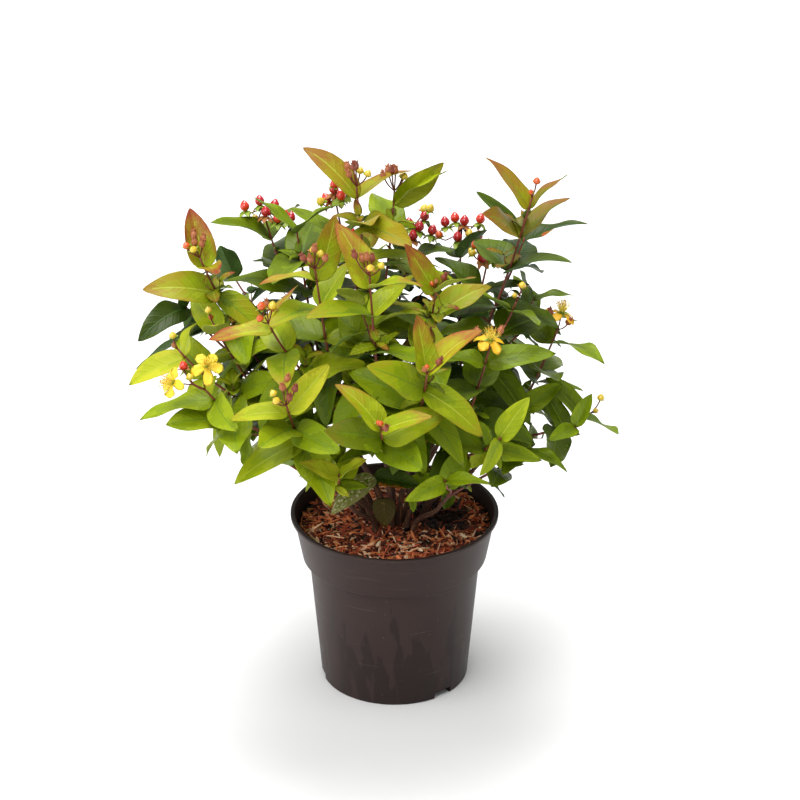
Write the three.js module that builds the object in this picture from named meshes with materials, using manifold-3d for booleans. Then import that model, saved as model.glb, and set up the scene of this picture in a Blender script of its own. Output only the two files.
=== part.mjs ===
// St John's wort in a nursery pot: a shrub of many slender stems with opposite leaves, whose shoots end
// in buds, flowers or berries, standing in a bark-mulched pot.
// Millimetres, +Z up, origin at the middle of the pot's flat underside. -Y faces the viewer.
import * as THREE from "three";
import { mergeVertices } from "three/addons/utils/BufferGeometryUtils.js";
import Module from "manifold-3d";

const wasm = await Module();
wasm.setup();

// Driving dimensions
const gap = 0.3; // clearance between separate pieces
const pot = {
  height: 167,
  rimRadius: 95,
  rimDepth: 3.4,
  collarTopRadius: 92,
  collarFootRadius: 84.2,
  collarHeight: 44,
  bodyTopRadius: 78.5,
  footRadius: 67.5,
  wall: 1.8,
  floor: 2.4,
  edge: 0.9,
  sides: 32,
};
const drain = { count: 3, bearing: -49, width: 19, height: 6.5, depth: 9 };
const mulch = { level: 154, mound: 3, ringRadii: [68, 48, 0], loosePast: 50, grain: 2.2, settled: 1.5 };
const stem = {
  clump: 36,
  apart: 9,
  fullLean: 1.5,
  footRadius: 2.7,
  endRadius: 1.8,
  flare: 0.35,
  forkShare: 0.34,
  sides: 5,
  rows: 3,
};
const stalk = { length: 12, footRadius: 1.8, endRadius: 1.85, sides: 3, rows: 1 };
const shoot = {
  footRadius: 1.6,
  endRadius: 1,
  sides: 3,
  rows: 4,
  firstInternode: 23,
  internode: 33,
  bareFoot: 20,
  upturn: 0.35,
};
const twig = {
  share: 0.16,
  length: 44,
  footRadius: 1,
  endRadius: 0.7,
  sides: 3,
  rows: 1,
  internode: 21,
  open: 42,
  upturn: 0.25,
  sizes: [0.62, 0.7],
};
// How pairs of leaves stand: wider open, in degrees, and sagging more the older they are
const pairs = {
  open: [42, 78],
  openByLean: 28,
  openSpread: 9,
  turnSpread: 13,
  sag: [0.02, 0.3],
  oldAt: 3,
  faceUp: 0.9,
  sizes: [0.84, 1, 1.08, 1.06],
  footSize: 0.82,
};
const leaf = {
  length: 61,
  widthShare: 0.475,
  thickness: 1.8,
  ribAt: 0.3,
  fold: 0.2,
  rise: 0.12,
  droop: 0.26,
};
// The leaf's half outline: how far along, and how wide as a share of the leaf's width
const outline = { shoulder: [0.26, 0.48], middle: [0.4, 0.5], waist: [0.68, 0.42] };
// The lowest a leaf's tip may hang: near the stems, and further out where the crown opens
const skirt = { floor: 180, from: 60, to: 100, step: 50, slope: 0.5, ceiling: 249 };
const fruit = {
  berry: { radius: 4.3, heights: [0.34, 0.68], length: 10.6 },
  young: { radius: 3.7, heights: [0.36, 0.7], length: 8.6 },
  bud: { radius: 2.8, heights: [0.42], length: 8.4 },
  pip: { radius: 2.5, heights: [0.42], length: 6 },
  sides: 5,
  stalkLength: 11,
  stalkRadius: 0.75,
};
// What a head bears, the first of it in line with the shoot, and how far below it the top leaves stand
const heads = {
  berries: { bears: ["berry", "berry", "berry"], neck: 30 },
  young: { bears: ["young", "young"], neck: 10 },
  buds: { bears: ["bud", "bud"], neck: 12 },
  pip: { bears: ["pip"], neck: 4 },
  flower: { bears: ["flower", "bud"], neck: 14 },
  flowers: { bears: ["flower", "flower"], neck: 14 },
  none: { bears: [], neck: 4 },
};
const petal = { count: 5, length: 15, width: 7.6, open: 74 };

// Each foliage mass is a few shoots from one stem: where each shoot's head is in x, y and z, what the
// head bears, how its top pair of leaves is turned, in degrees, and how large its leaves are
const masses = {
  crown_top: [[-33, 8, 484, "buds", 0, 1.1], [0, 40, 466, "buds", 0, 1.1], [-52, 78, 436, "berries", 0, 1]],
  upper_front_left: [[-68, -70, 440, "buds", 35, 1], [-108, -90, 398, "young", 5, 1]],
  upper_left: [[-172, 12, 414, "buds", 75, 1.15], [-194, 60, 352, "young", 20, 1]],
  left: [[-190, -36, 347, "buds", 0, 1], [-160, -14, 362, "young", 85, 1]],
  lower_front_left: [[-164, -88, 333, "flowers", 0, 1.1], [-92, -138, 343, "buds", 15, 1]],
  front: [[-21, -85, 440, "buds", 60, 1], [-11, -172, 338, "pip", 30, 1]],
  front_right: [[28, -140, 375, "pip", 50, 1], [36, -50, 412, "pip", 70, 1]],
  right_front: [[82, -78, 366, "flower", 15, 1], [92, -118, 302, "none", 40, 1]],
  upper_right: [[121, 20, 468, "buds", 5, 1], [107, -25, 388, "young", 45, 1.1]],
  right: [[146, 15, 342, "flower", 0, 1.1], [176, -24, 279, "young", 0, 1.05]],
  back_left: [
    [-120, 108, 420, "berries", 0, 1.15],
    [-88, 62, 420, "none", 20, 1.1],
    [-150, 142, 338, "pip", 60, 1],
  ],
  back: [[16, 112, 400, "berries", 30, 1], [-44, 172, 345, "berries", 0, 1]],
  back_right: [
    [62, 134, 392, "berries", 60, 1],
    [84, 80, 378, "berries", 20, 1],
    [118, 92, 398, "none", 0, 1.1],
    [132, 118, 312, "none", 45, 1],
  ],
  low_front_left: [[-48, -122, 268, "none", 20, 0.9], [-112, -76, 272, "none", 60, 0.9]],
  low_front_right: [[44, -128, 266, "none", 45, 1], [116, -60, 262, "none", 10, 0.9]],
  low_back: [[62, 170, 282, "none", 20, 1], [-84, 162, 272, "none", 40, 1]],
  low_left: [[-134, 40, 268, "none", 0, 0.9]],
  low_right: [[130, 66, 268, "none", 30, 0.9]],
};

// Slivers thinner than this are taken out of the joints, in mm
const sliver = [0.08, 0.07, 0.06, 0.05, 0.04, 0.03, 0.02, 0.01];
const weld = 1e-3;
// Leaves whose roots are nearer than this are a pair, in mm
const pairReach = 3;
// What a leaf may try to find room: a share of its length, and a turn in its own plane in degrees
const shares = [1, 0.85, 0.7];
const turns = [0, 14, -14, 28, -28, 42, -42];
const trials = shares.flatMap((share) => turns.map((turn) => [share, turn]));

const up = new THREE.Vector3(0, 0, 1);
const depth = new THREE.Vector3(0, 1, 0);
const radians = THREE.MathUtils.degToRad;
const mixed = THREE.MathUtils.lerp;

// A settled number from 0 to 1 for one trait of one place on one shoot
function draw(shootNumber, place, trait) {
  const wave = Math.sin(shootNumber * 127.1 + place * 311.7 + trait * 74.7) * 43758.5453;
  return wave - Math.floor(wave);
}

// A closed three.js geometry as a solid
function solidOf(geometry) {
  const bare = geometry.index ? geometry.toNonIndexed() : geometry.clone();
  bare.deleteAttribute("normal");
  bare.deleteAttribute("uv");
  const merged = mergeVertices(bare, 1e-4);
  const corners = merged.index.array;
  const kept = [];
  for (let i = 0; i < corners.length; i += 3) {
    const [a, b, c] = corners.slice(i, i + 3);
    if (a !== b && b !== c && c !== a) kept.push(a, b, c);
  }
  const vertProperties = new Float32Array(merged.attributes.position.array);
  return new wasm.Manifold(new wasm.Mesh({ numProp: 3, vertProperties, triVerts: new Uint32Array(kept) }));
}

// A solid as a three.js geometry, without its loose scraps
function geometryOf(solid) {
  const pieces = solid.decompose().sort((a, b) => b.volume() - a.volume());
  const mesh = pieces[0].getMesh();
  const geometry = new THREE.BufferGeometry();
  geometry.setAttribute("position", new THREE.BufferAttribute(new Float32Array(mesh.vertProperties), 3));
  geometry.setIndex(new THREE.BufferAttribute(new Uint32Array(mesh.triVerts), 1));
  geometry.computeVertexNormals();
  return geometry;
}

// Pieces joined in one solid, without the slivers of the joints, as far as nothing comes loose by it
function joined(pieces) {
  const whole = wasm.Manifold.union(pieces).asOriginal();
  const trimmed = sliver.map((tolerance) => whole.simplify(tolerance));
  return trimmed.find((solid) => solid.decompose().length === 1 && staysClosed(solid)) ?? whole;
}

// Whether each edge still has one face on each side once corners a hair apart are taken as one
function staysClosed(solid) {
  const corners = mergeVertices(geometryOf(solid).deleteAttribute("normal"), weld).index.array;
  const edges = new Map();
  for (let i = 0; i < corners.length; i += 3) {
    const face = [...corners.slice(i, i + 3)];
    if (new Set(face).size < 3) continue;
    face.forEach((corner, k) => {
      const edge = `${corner} ${face[(k + 1) % 3]}`;
      edges.set(edge, (edges.get(edge) ?? 0) + 1);
    });
  }
  return [...edges].every(([edge, count]) => count === 1 && edges.has(edge.split(" ").reverse().join(" ")));
}

function sub(name, geometry, material) {
  const mesh = new THREE.Mesh(geometry, material);
  mesh.name = name;
  return mesh;
}

// A solid of revolution about +Z from a profile of [radius, height] that starts and ends on the axis
function turned(profile, sides) {
  const points = profile.map(([radius, height]) => new THREE.Vector2(radius, height));
  return new THREE.LatheGeometry(points, sides).rotateX(Math.PI / 2);
}

// The pot: a thin tapering body, a wider collar over a ledge, and a rolled rim
function potSolid() {
  const { height, rimRadius, rimDepth, wall, floor, edge } = pot;
  const ledge = height - pot.collarHeight;
  const profile = [
    [0, 0],
    [pot.footRadius - 2 * edge, 0],
    [pot.footRadius, 2 * edge],
    [pot.bodyTopRadius, ledge],
    [pot.collarFootRadius - edge, ledge],
    [pot.collarFootRadius, ledge + edge],
    [pot.collarTopRadius, height - rimDepth],
    [rimRadius - edge, height - rimDepth],
    [rimRadius, height - rimDepth + edge],
    [rimRadius, height - edge],
    [rimRadius - edge, height],
    [pot.collarTopRadius - edge, height],
    [pot.collarTopRadius - wall, height - rimDepth],
    [pot.collarFootRadius - wall, ledge + wall],
    [pot.bodyTopRadius - wall, ledge + wall],
    [pot.footRadius - wall, floor],
    [0, floor],
  ];
  let body = solidOf(turned(profile, pot.sides));
  for (let i = 0; i < drain.count; i++) {
    const slot = new THREE.BoxGeometry(drain.depth * 2, drain.width, drain.height * 2);
    slot.translate(pot.footRadius, 0, 0);
    slot.rotateZ(radians(drain.bearing + (i * 360) / drain.count));
    body = body.subtract(solidOf(slot));
  }
  return body;
}

// The potting mix fills the pot; its mulched top is uneven outside the clump of stems
function mixSolid() {
  const inset = pot.wall + gap;
  const ledge = pot.height - pot.collarHeight + pot.wall + gap;
  const shoulder = ledge + 1.5;
  const slope = (pot.collarTopRadius - pot.collarFootRadius) / (pot.collarHeight - pot.rimDepth);
  const wallRadius = pot.collarFootRadius - inset + slope * (mulch.level - shoulder);
  const profile = [
    [0, pot.floor + gap],
    [pot.footRadius - inset, pot.floor + gap],
    [pot.bodyTopRadius - inset, ledge],
    [pot.collarFootRadius - inset - 0.4, ledge],
    [pot.collarFootRadius - inset, shoulder],
    [wallRadius, mulch.level],
  ];
  mulch.ringRadii.forEach((radius) => profile.push([radius, mulch.level + mulch.mound]));
  const geometry = turned(profile, pot.sides);
  const place = geometry.attributes.position;
  for (let i = 0; i < place.count; i++) {
    const [x, y, z] = [place.getX(i), place.getY(i), place.getZ(i)];
    if (z > mulch.level && Math.hypot(x, y) > mulch.loosePast) {
      place.setZ(i, z - mulch.settled + mulch.grain * (draw(Math.round(x), Math.round(y), 1) - 0.5));
    }
  }
  return solidOf(geometry);
}

// A limb with flat ends along a curve, tapering from foot to end. It may be spun about its own line
// and flare at its foot
function limb({ curve, footRadius, endRadius, sides, rows, spin = 0, flare = 0 }) {
  const geometry = new THREE.CylinderGeometry(endRadius, footRadius, 1, sides, rows, false, spin);
  const place = geometry.attributes.position;
  for (let i = 0; i < place.count; i++) {
    const share = place.getY(i) + 0.5;
    const centre = curve.getPointAt(share);
    const along = curve.getTangentAt(share);
    const side = new THREE.Vector3().crossVectors(along, depth).normalize();
    const other = new THREE.Vector3().crossVectors(side, along);
    const swell = share === 0 ? 1 + flare : 1;
    centre.addScaledVector(side, place.getX(i) * swell).addScaledVector(other, place.getZ(i) * swell);
    place.setXYZ(i, centre.x, centre.y, centre.z);
  }
  return geometry;
}

// A point on the straight-sided limb that follows a curve in so many rows
function centreAt(curve, rows, share) {
  const row = Math.min(Math.floor(share * rows), rows - 1);
  const [low, high] = [curve.getPointAt(row / rows), curve.getPointAt((row + 1) / rows)];
  return low.lerp(high, share * rows - row);
}

function bentLine(foot, footHeading, end, endHeading) {
  const reach = foot.distanceTo(end) * 0.36;
  const rise = foot.clone().addScaledVector(footHeading, reach);
  const fall = end.clone().addScaledVector(endHeading, -reach);
  return new THREE.CubicBezierCurve3(foot, rise, fall, end);
}

function straightLine(foot, heading, length) {
  return new THREE.LineCurve3(foot, foot.clone().addScaledVector(heading, length));
}

// How far a blade's midline lies above its chord, as a share of its length
function midline(share) {
  return leaf.rise * share - leaf.droop * share * share;
}

// A thin folded blade: its root lies in the limb, its margins stand above the midrib, its tip arches down
function blade({ root, along, face, length, width, points }) {
  const side = new THREE.Vector3().crossVectors(along, face);
  const geometry = new THREE.SphereGeometry(1, points, 2);
  const place = geometry.attributes.position;
  const half = leaf.thickness / 2;
  for (let i = 0; i < place.count; i++) {
    const [x, y, z] = [place.getX(i), place.getY(i), place.getZ(i)];
    let [share, wide, high] = [leaf.ribAt, 0, y * half];
    if (Math.abs(y) < 0.5) {
      const sideways = Math.abs(x) < 0.1 ? outline.middle : outline.waist;
      const [station, spread] = x < -0.1 ? outline.shoulder : sideways;
      share = Math.abs(x) > 0.9 ? (x > 0 ? 1 : 0) : station;
      wide = Math.abs(x) > 0.9 ? 0 : Math.sign(z) * spread * width;
      high = leaf.fold * Math.abs(wide);
    }
    const point = root.clone().addScaledVector(along, share * length).addScaledVector(side, wide);
    point.addScaledVector(face, midline(share) * length + high);
    place.setXYZ(i, point.x, point.y, point.z);
  }
  return geometry;
}

// The turn of a leaf or stalk about a limb: a heading that opens from the limb's own by an angle
function opened(along, bearing, open) {
  const side = new THREE.Vector3().crossVectors(along, depth).normalize();
  const other = new THREE.Vector3().crossVectors(side, along);
  const out = side.multiplyScalar(Math.cos(bearing)).addScaledVector(other, Math.sin(bearing));
  return along.clone().multiplyScalar(Math.cos(open)).addScaledVector(out, Math.sin(open));
}

// A pair of opposite leaves. Older pairs, lower on the shoot, spread wider and sag more
function leafPair({ point, along, age, turn, number, place, size }) {
  const old = Math.min(age / pairs.oldAt, 1);
  const lean = pairs.openByLean * Math.hypot(along.x, along.y);
  return [0, 1].map((half) => {
    const trait = half * 10;
    const either = (spread, n) => mixed(-spread, spread, draw(number, place, trait + n));
    const bearing = turn + Math.PI * half + radians(either(pairs.turnSpread, 1));
    const open = radians(mixed(...pairs.open, old) + lean + either(pairs.openSpread, 2));
    const heading = opened(along, bearing, open);
    heading.z -= mixed(...pairs.sag, old) * (1 + either(0.4, 3));
    heading.normalize();
    const face = along.clone().addScaledVector(up, pairs.faceUp);
    face.addScaledVector(heading, -face.dot(heading)).normalize();
    const length = leaf.length * size * (1 + either(0.14, 4));
    const width = length * leaf.widthShare * (1 + either(0.1, 5));
    const plain = age >= pairs.oldAt || size <= Math.max(...twig.sizes);
    return { root: point, along: heading, face, length, width, points: plain ? 4 : 6 };
  });
}

// How large the pair's leaves are at this place, counted down from the head
function pairSize(place, count) {
  const size = pairs.sizes[Math.min(place, pairs.sizes.length - 1)];
  return place === count - 1 ? size * pairs.footSize : size;
}

// Where the pairs stand on a shoot, as distances from its end
function pairPlaces(length, neck) {
  const places = [];
  let from = neck;
  while (from < length - shoot.bareFoot) {
    places.push(from);
    from += mixed(shoot.firstInternode, shoot.internode, Math.min(places.length / 2, 1));
  }
  return places;
}

// Grows one shoot: its own limb, its pairs of leaves, and short side twigs in some of their angles
function growShoot(curve, number, head, turn, scale) {
  const length = curve.getLength();
  const one = { limbs: [limb({ ...shoot, curve, spin: number })], leaves: [] };
  const places = pairPlaces(length, heads[head].neck);
  places.forEach((from, place) => {
    const share = 1 - from / length;
    const point = centreAt(curve, shoot.rows, share);
    const along = curve.getTangentAt(share);
    const bearing = radians(turn) + (Math.PI / 2) * place;
    const size = pairSize(place, places.length) * scale;
    one.leaves.push(...leafPair({ point, along, age: place, turn: bearing, number, place, size }));
    if (place === 0 || draw(number, place, 31) > twig.share) return;
    const side = draw(number, place, 32) < 0.5 ? 0 : Math.PI;
    const heading = opened(along, bearing + side, radians(twig.open));
    heading.addScaledVector(up, twig.upturn).normalize();
    const reach = twig.length * mixed(0.8, 1.25, draw(number, place, 33));
    const line = straightLine(point, heading, reach);
    one.limbs.push(limb({ ...twig, curve: line, spin: number + place }));
    twig.sizes.forEach((size, pair) => {
      const stand = line.getPointAt(1 - (1.5 + pair * twig.internode) / reach);
      const turn = bearing + (Math.PI / 2) * pair + 0.5;
      const plan = { point: stand, along: heading, age: pair, turn, number, size };
      one.leaves.push(...leafPair({ ...plan, place: 40 + place * 4 + pair }));
    });
  });
  return one;
}

// A berry or bud on its stalk, turned in one piece
function fruitOnStalk(foot, heading, stalkLength, kind) {
  const belts = kind.heights.map((height) => [kind.radius, stalkLength + height * kind.length]);
  const profile = [[0, 0], [fruit.stalkRadius, 0], [fruit.stalkRadius, stalkLength], ...belts];
  const geometry = turned([...profile, [0, stalkLength + kind.length]], fruit.sides);
  geometry.applyQuaternion(new THREE.Quaternion().setFromUnitVectors(up, heading));
  return geometry.translate(foot.x, foot.y, foot.z);
}

// An open flower: petals round the end of its stalk
function flowerOnStalk(foot, heading, stalkLength) {
  const root = foot.clone().addScaledVector(heading, stalkLength + 1);
  const petals = [];
  for (let i = 0; i < petal.count; i++) {
    const along = opened(heading, (i * 2 * Math.PI) / petal.count, radians(petal.open));
    const face = heading.clone().addScaledVector(along, -heading.dot(along)).normalize();
    petals.push(blade({ root, along, face, length: petal.length, width: petal.width, points: 4 }));
  }
  return [...petals, fruitOnStalk(foot, heading, stalkLength - 1, fruit.pip)];
}

// What a shoot's head bears, spread round its end
function growHead(end, along, number, head) {
  return heads[head].bears.flatMap((kind, i) => {
    const bearing = i * 2.6 + draw(number, 0, 50) * 6;
    const open = radians(i === 0 ? 8 : mixed(38, 62, draw(number, i, 51)));
    const heading = opened(along, bearing, open);
    const stalk = fruit.stalkLength * mixed(0.8, 1.2, draw(number, i, 52));
    const foot = end.clone().addScaledVector(heading, -0.6);
    if (kind === "flower") return flowerOnStalk(foot, heading, stalk);
    return [fruitOnStalk(foot, heading, kind === "pip" ? 4 : stalk, fruit[kind])];
  });
}

function middleOf(shoots) {
  const sum = new THREE.Vector3();
  shoots.forEach(([x, y, z]) => sum.add(new THREE.Vector3(x, y, z)));
  return sum.divideScalar(shoots.length);
}

// Where the stems leave the mulch: each under its own mass, upright ones inmost, pushed apart in the clump
function feetOf(allShoots) {
  const ground = mulch.level + mulch.mound + gap;
  const feet = allShoots.map((shoots) => {
    const middle = middleOf(shoots);
    const lean = Math.hypot(middle.x, middle.y) / (middle.z - ground);
    const out = stem.clump * Math.min(lean / stem.fullLean, 1);
    return new THREE.Vector3(middle.x, middle.y, 0).setLength(out).setZ(ground);
  });
  for (let pass = 0; pass < 80; pass++) {
    feet.forEach((foot, i) => {
      feet.slice(i + 1).forEach((other) => {
        const between = other.clone().sub(foot);
        const short = stem.apart - between.length();
        if (short <= 0) return;
        between.setLength(short / 2);
        other.add(between);
        foot.sub(between);
      });
    });
  }
  return feet;
}

// The skeleton of a mass: the curve of its stem up to the fork, and of each shoot beyond it
function skeletonOf(shoots, foot) {
  const ends = shoots.map(([x, y, z]) => new THREE.Vector3(x, y, z));
  const middle = middleOf(shoots);
  const fork = foot.clone().lerp(middle, stem.forkShare);
  const heading = middle.clone().sub(fork).addScaledVector(up, 12).normalize();
  const stemCurve = bentLine(foot, up, fork, heading);
  const start = fork.clone().addScaledVector(heading, gap);
  const split = start.clone().addScaledVector(heading, stalk.length);
  const curves = ends.map((end, i) => {
    const leaning = end.clone().sub(split).normalize().addScaledVector(up, shoot.upturn).normalize();
    return bentLine(split.clone().addScaledVector(heading, -1.2 - i * 0.7), heading, end, leaning);
  });
  return { stemCurve, stalkCurve: straightLine(start, heading, stalk.length), curves };
}

const bark = new THREE.MeshStandardMaterial({ color: 0x7a4a2c, roughness: 0.8 });
const foliage = new THREE.MeshStandardMaterial({ color: 0x8aa531, roughness: 0.55 });
const plastic = new THREE.MeshStandardMaterial({ color: 0x4a403e, roughness: 0.5 });
const chips = new THREE.MeshStandardMaterial({ color: 0x6d3920, roughness: 0.95 });

const plant = new THREE.Group();
plant.add(sub("pot", geometryOf(potSolid()), plastic));
plant.add(sub("potting_mix", geometryOf(mixSolid()), chips));

// Skeletons first, then the leaves, which have to clear every other piece
const grown = [];
const feet = feetOf(Object.values(masses));
let shootNumber = 0;
Object.entries(masses).forEach(([name, shoots], index) => {
  const { stemCurve, stalkCurve, curves } = skeletonOf(shoots, feet[index]);
  const woody = limb({ ...stem, curve: stemCurve });
  const limbs = [limb({ ...stalk, curve: stalkCurve })];
  const leaves = [];
  curves.forEach((curve, i) => {
    const [, , , head, turn, scale] = shoots[i];
    const one = growShoot(curve, ++shootNumber, head, turn, scale);
    const headParts = growHead(curve.getPoint(1), curve.getTangentAt(1), shootNumber, head);
    limbs.push(...one.limbs, ...headParts);
    leaves.push(...one.leaves);
  });
  grown.push({ name, woody: solidOf(woody), limbs: limbs.map(solidOf), leaves, kept: [] });
});

function near(a, b) {
  const [p, q] = [a.boundingBox(), b.boundingBox()];
  return [0, 1, 2].every((i) => p.min[i] < q.max[i] + 1 && q.min[i] < p.max[i] + 1);
}

// The lowest a leaf may hang at this distance from the pot's axis
function lowest(radius) {
  const opens = THREE.MathUtils.smoothstep(radius, skirt.from, skirt.to) * skirt.step;
  const rises = Math.max(0, radius - skirt.to) * skirt.slope;
  return Math.min(skirt.floor + opens + rises, skirt.ceiling);
}

// A leaf stays where it clears the stems, every other mass and its own mass's other leaves,
// if need be turned a little or shorter
function settle(piece, leafPlan) {
  const others = grown.filter((other) => other !== piece);
  const leaves = others.flatMap((other) => other.kept).map((one) => one.solid);
  const apart = [...grown.map((other) => other.woody), ...others.flatMap((other) => other.limbs), ...leaves];
  const elsewhere = piece.kept.filter((one) => one.root.distanceTo(leafPlan.root) > pairReach);
  const own = elsewhere.map((one) => one.solid);
  for (const [share, turn] of trials) {
    const along = leafPlan.along.clone().applyAxisAngle(leafPlan.face, radians(turn));
    const length = leafPlan.length * share;
    const tip = leafPlan.root.clone().addScaledVector(along, length);
    const lowestPoint = tip.z - leaf.droop * 0.5 * length;
    if (lowestPoint < lowest(Math.hypot(tip.x, tip.y))) continue;
    const solid = solidOf(blade({ ...leafPlan, along, length, width: leafPlan.width * share }));
    const meets = (other, room) => near(solid, other) && solid.minGap(other, 1) < room;
    if (own.some((other) => meets(other, gap)) || apart.some((other) => meets(other, gap + 0.2))) continue;
    return { solid, root: leafPlan.root };
  }
  return null;
}

const most = Math.max(...grown.map((piece) => piece.leaves.length));
for (let i = 0; i < most; i++) {
  for (const piece of grown) {
    if (i >= piece.leaves.length) continue;
    const settled = settle(piece, piece.leaves[i]);
    if (settled) piece.kept.push(settled);
  }
}

for (const piece of grown) {
  const whole = joined([...piece.limbs, ...piece.kept.map((one) => one.solid)]);
  plant.add(sub(`stem_${piece.name}`, geometryOf(piece.woody), bark));
  plant.add(sub(`foliage_${piece.name}`, geometryOf(whole), foliage));
}

export default plant;
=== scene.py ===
# St John's wort in a nursery pot: a shrub of slender stems with opposite leaves, whose shoots end in
# buds, flowers or berries. +Z is up, the origin is in the middle of the pot's underside and -Y faces
# the viewer. Blender's own units are metres; the growing below is worked out in millimetres.
import math
import bpy
import numpy as np
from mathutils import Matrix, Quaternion, Vector, noise
from mathutils.bvhtree import BVHTree


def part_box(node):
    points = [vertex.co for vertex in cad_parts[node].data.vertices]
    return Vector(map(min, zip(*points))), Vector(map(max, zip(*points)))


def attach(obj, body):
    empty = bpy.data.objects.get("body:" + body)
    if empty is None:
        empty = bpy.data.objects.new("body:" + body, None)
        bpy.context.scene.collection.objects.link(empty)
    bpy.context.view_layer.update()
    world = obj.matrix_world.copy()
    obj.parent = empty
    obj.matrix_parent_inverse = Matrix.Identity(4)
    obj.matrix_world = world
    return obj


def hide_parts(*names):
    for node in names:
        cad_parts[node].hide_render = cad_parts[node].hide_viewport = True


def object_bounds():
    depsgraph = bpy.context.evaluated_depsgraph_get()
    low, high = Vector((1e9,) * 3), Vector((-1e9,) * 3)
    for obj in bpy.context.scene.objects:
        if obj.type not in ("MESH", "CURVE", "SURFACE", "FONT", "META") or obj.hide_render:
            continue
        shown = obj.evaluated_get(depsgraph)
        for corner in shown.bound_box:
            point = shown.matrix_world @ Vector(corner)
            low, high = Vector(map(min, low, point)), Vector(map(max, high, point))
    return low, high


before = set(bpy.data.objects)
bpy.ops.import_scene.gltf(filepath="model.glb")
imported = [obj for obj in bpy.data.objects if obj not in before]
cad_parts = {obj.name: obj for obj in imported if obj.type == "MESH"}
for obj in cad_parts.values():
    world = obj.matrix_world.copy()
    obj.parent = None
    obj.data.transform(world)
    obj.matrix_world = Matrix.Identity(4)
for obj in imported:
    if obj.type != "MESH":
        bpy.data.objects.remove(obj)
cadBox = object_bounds()

mm = 0.001
up = Vector((0, 0, 1))
depth = Vector((0, 1, 0))
# The photograph's view: from the front, 26.5 degrees above the level, with a long lens
view = {"target": Vector((0.005, 0, 0.2793)), "elevation": math.radians(26.5), "distance": 3,
        "lens": 150.3, "sensor": 36, "farEnd": 50}
towards = Vector((0, -math.cos(view["elevation"]), math.sin(view["elevation"])))
over = Vector((0, math.sin(view["elevation"]), math.cos(view["elevation"])))


def fromView(across, rise, near):  # right, up and towards the viewer, as the camera sees them
    return Vector((across, 0, 0)) + over * rise + towards * near


def linear(hexColour):  # sRGB hex to a linear colour
    parts = [int(hexColour[i:i + 2], 16) / 255 for i in (0, 2, 4)]
    return [c / 12.92 if c <= 0.04045 else ((c + 0.055) / 1.055) ** 2.4 for c in parts] + [1]


# What a node's sockets take: a value, a socket, or another node's first output
def feed(node, links):
    for socket, source in links.items():
        if isinstance(source, bpy.types.Node):
            source = source.outputs[0]
        if isinstance(source, bpy.types.NodeSocket):
            node.id_data.links.new(source, node.inputs[socket])
        else:
            node.inputs[socket].default_value = source


def addNode(tree, kind, links, **settings):
    node = tree.nodes.new("ShaderNode" + kind)
    for name, value in settings.items():
        setattr(node, name, value)
    feed(node, links)
    return node


def newSurface(name, hexColour, roughness, ior, specular=0.5):
    material = bpy.data.materials.new(name)
    material.use_nodes = True
    material.diffuse_color = linear(hexColour)
    shader = material.node_tree.nodes["Principled BSDF"]
    feed(shader, {"Base Color": linear(hexColour), "Roughness": roughness, "IOR": ior,
                  "Specular IOR Level": specular})
    return material, material.node_tree, shader


# Gives a surface its relief in metres, and lets a pattern move its roughness
def addRelief(tree, shader, height, pattern, roughness, grain):
    bump = addNode(tree, "Bump", {"Height": height, "Distance": grain["relief"],
                                  "Strength": grain["strength"]})
    sheen = addNode(tree, "MapRange", {"Value": pattern, "To Min": roughness - grain["smoother"],
                                       "To Max": roughness + grain["rougher"]})
    feed(shader, {"Normal": bump, "Roughness": sheen})


# A material for each tone, finished by one function, and each tone's number in that list
def surfacesOf(prefix, tones, finish, ior, specular=0.5):
    surfaces = []
    for name, (hexColour, roughness) in tones.items():
        material, tree, shader = newSurface(prefix + name, hexColour, roughness, ior, specular)
        finish(tree, shader, roughness)
        surfaces.append(material)
    return surfaces, {name: i for i, name in enumerate(tones)}


def newObject(name, data):
    made = bpy.data.objects.new(name, data)
    bpy.context.collection.objects.link(made)
    return made


# Joins chunks of points and faces, in mm, as one piece that rides with the pot
def joinedPiece(name, chunks, surfaces, replaced, smooth=True):
    points, faces, looks, maps, start = [], [], [], [], 0
    for chunk in chunks:
        points.append(chunk["points"])
        for corners, look in chunk["faces"]:
            faces.extend((corners + start).tolist())
            looks.append(np.broadcast_to(look, len(corners)))
            maps.append(chunk["map"][corners].reshape(-1, 2))
        start += len(chunk["points"])
    mesh = bpy.data.meshes.new(name)
    mesh.from_pydata((np.concatenate(points) * mm).tolist(), [], faces)
    looks = np.concatenate(looks)
    used = np.unique(looks)
    for number in used:
        mesh.materials.append(surfaces[number])
    mesh.polygons.foreach_set("material_index", np.searchsorted(used, looks).astype(np.int32))
    mesh.polygons.foreach_set("use_smooth", np.full(len(faces), smooth))
    layer = mesh.uv_layers.new(name="growthMap")
    layer.data.foreach_set("uv", np.concatenate(maps).astype(np.float32).ravel())
    mesh.update()
    piece = newObject(name, mesh)
    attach(piece, "root")
    if replaced:
        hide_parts(*replaced)
    return piece


def quadsOf(index):  # quads between the rows of a grid of point numbers
    corners = [index[:-1, :-1], index[:-1, 1:], index[1:, 1:], index[1:, :-1]]
    return np.stack(corners, axis=-1).reshape(-1, 4)


def gridQuads(rows, columns, closed=False):  # the same for a whole grid, and round it where it is closed
    index = np.arange(rows * columns).reshape(rows, columns)
    return quadsOf(np.concatenate([index, index[:, :1]], axis=1) if closed else index)


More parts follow.
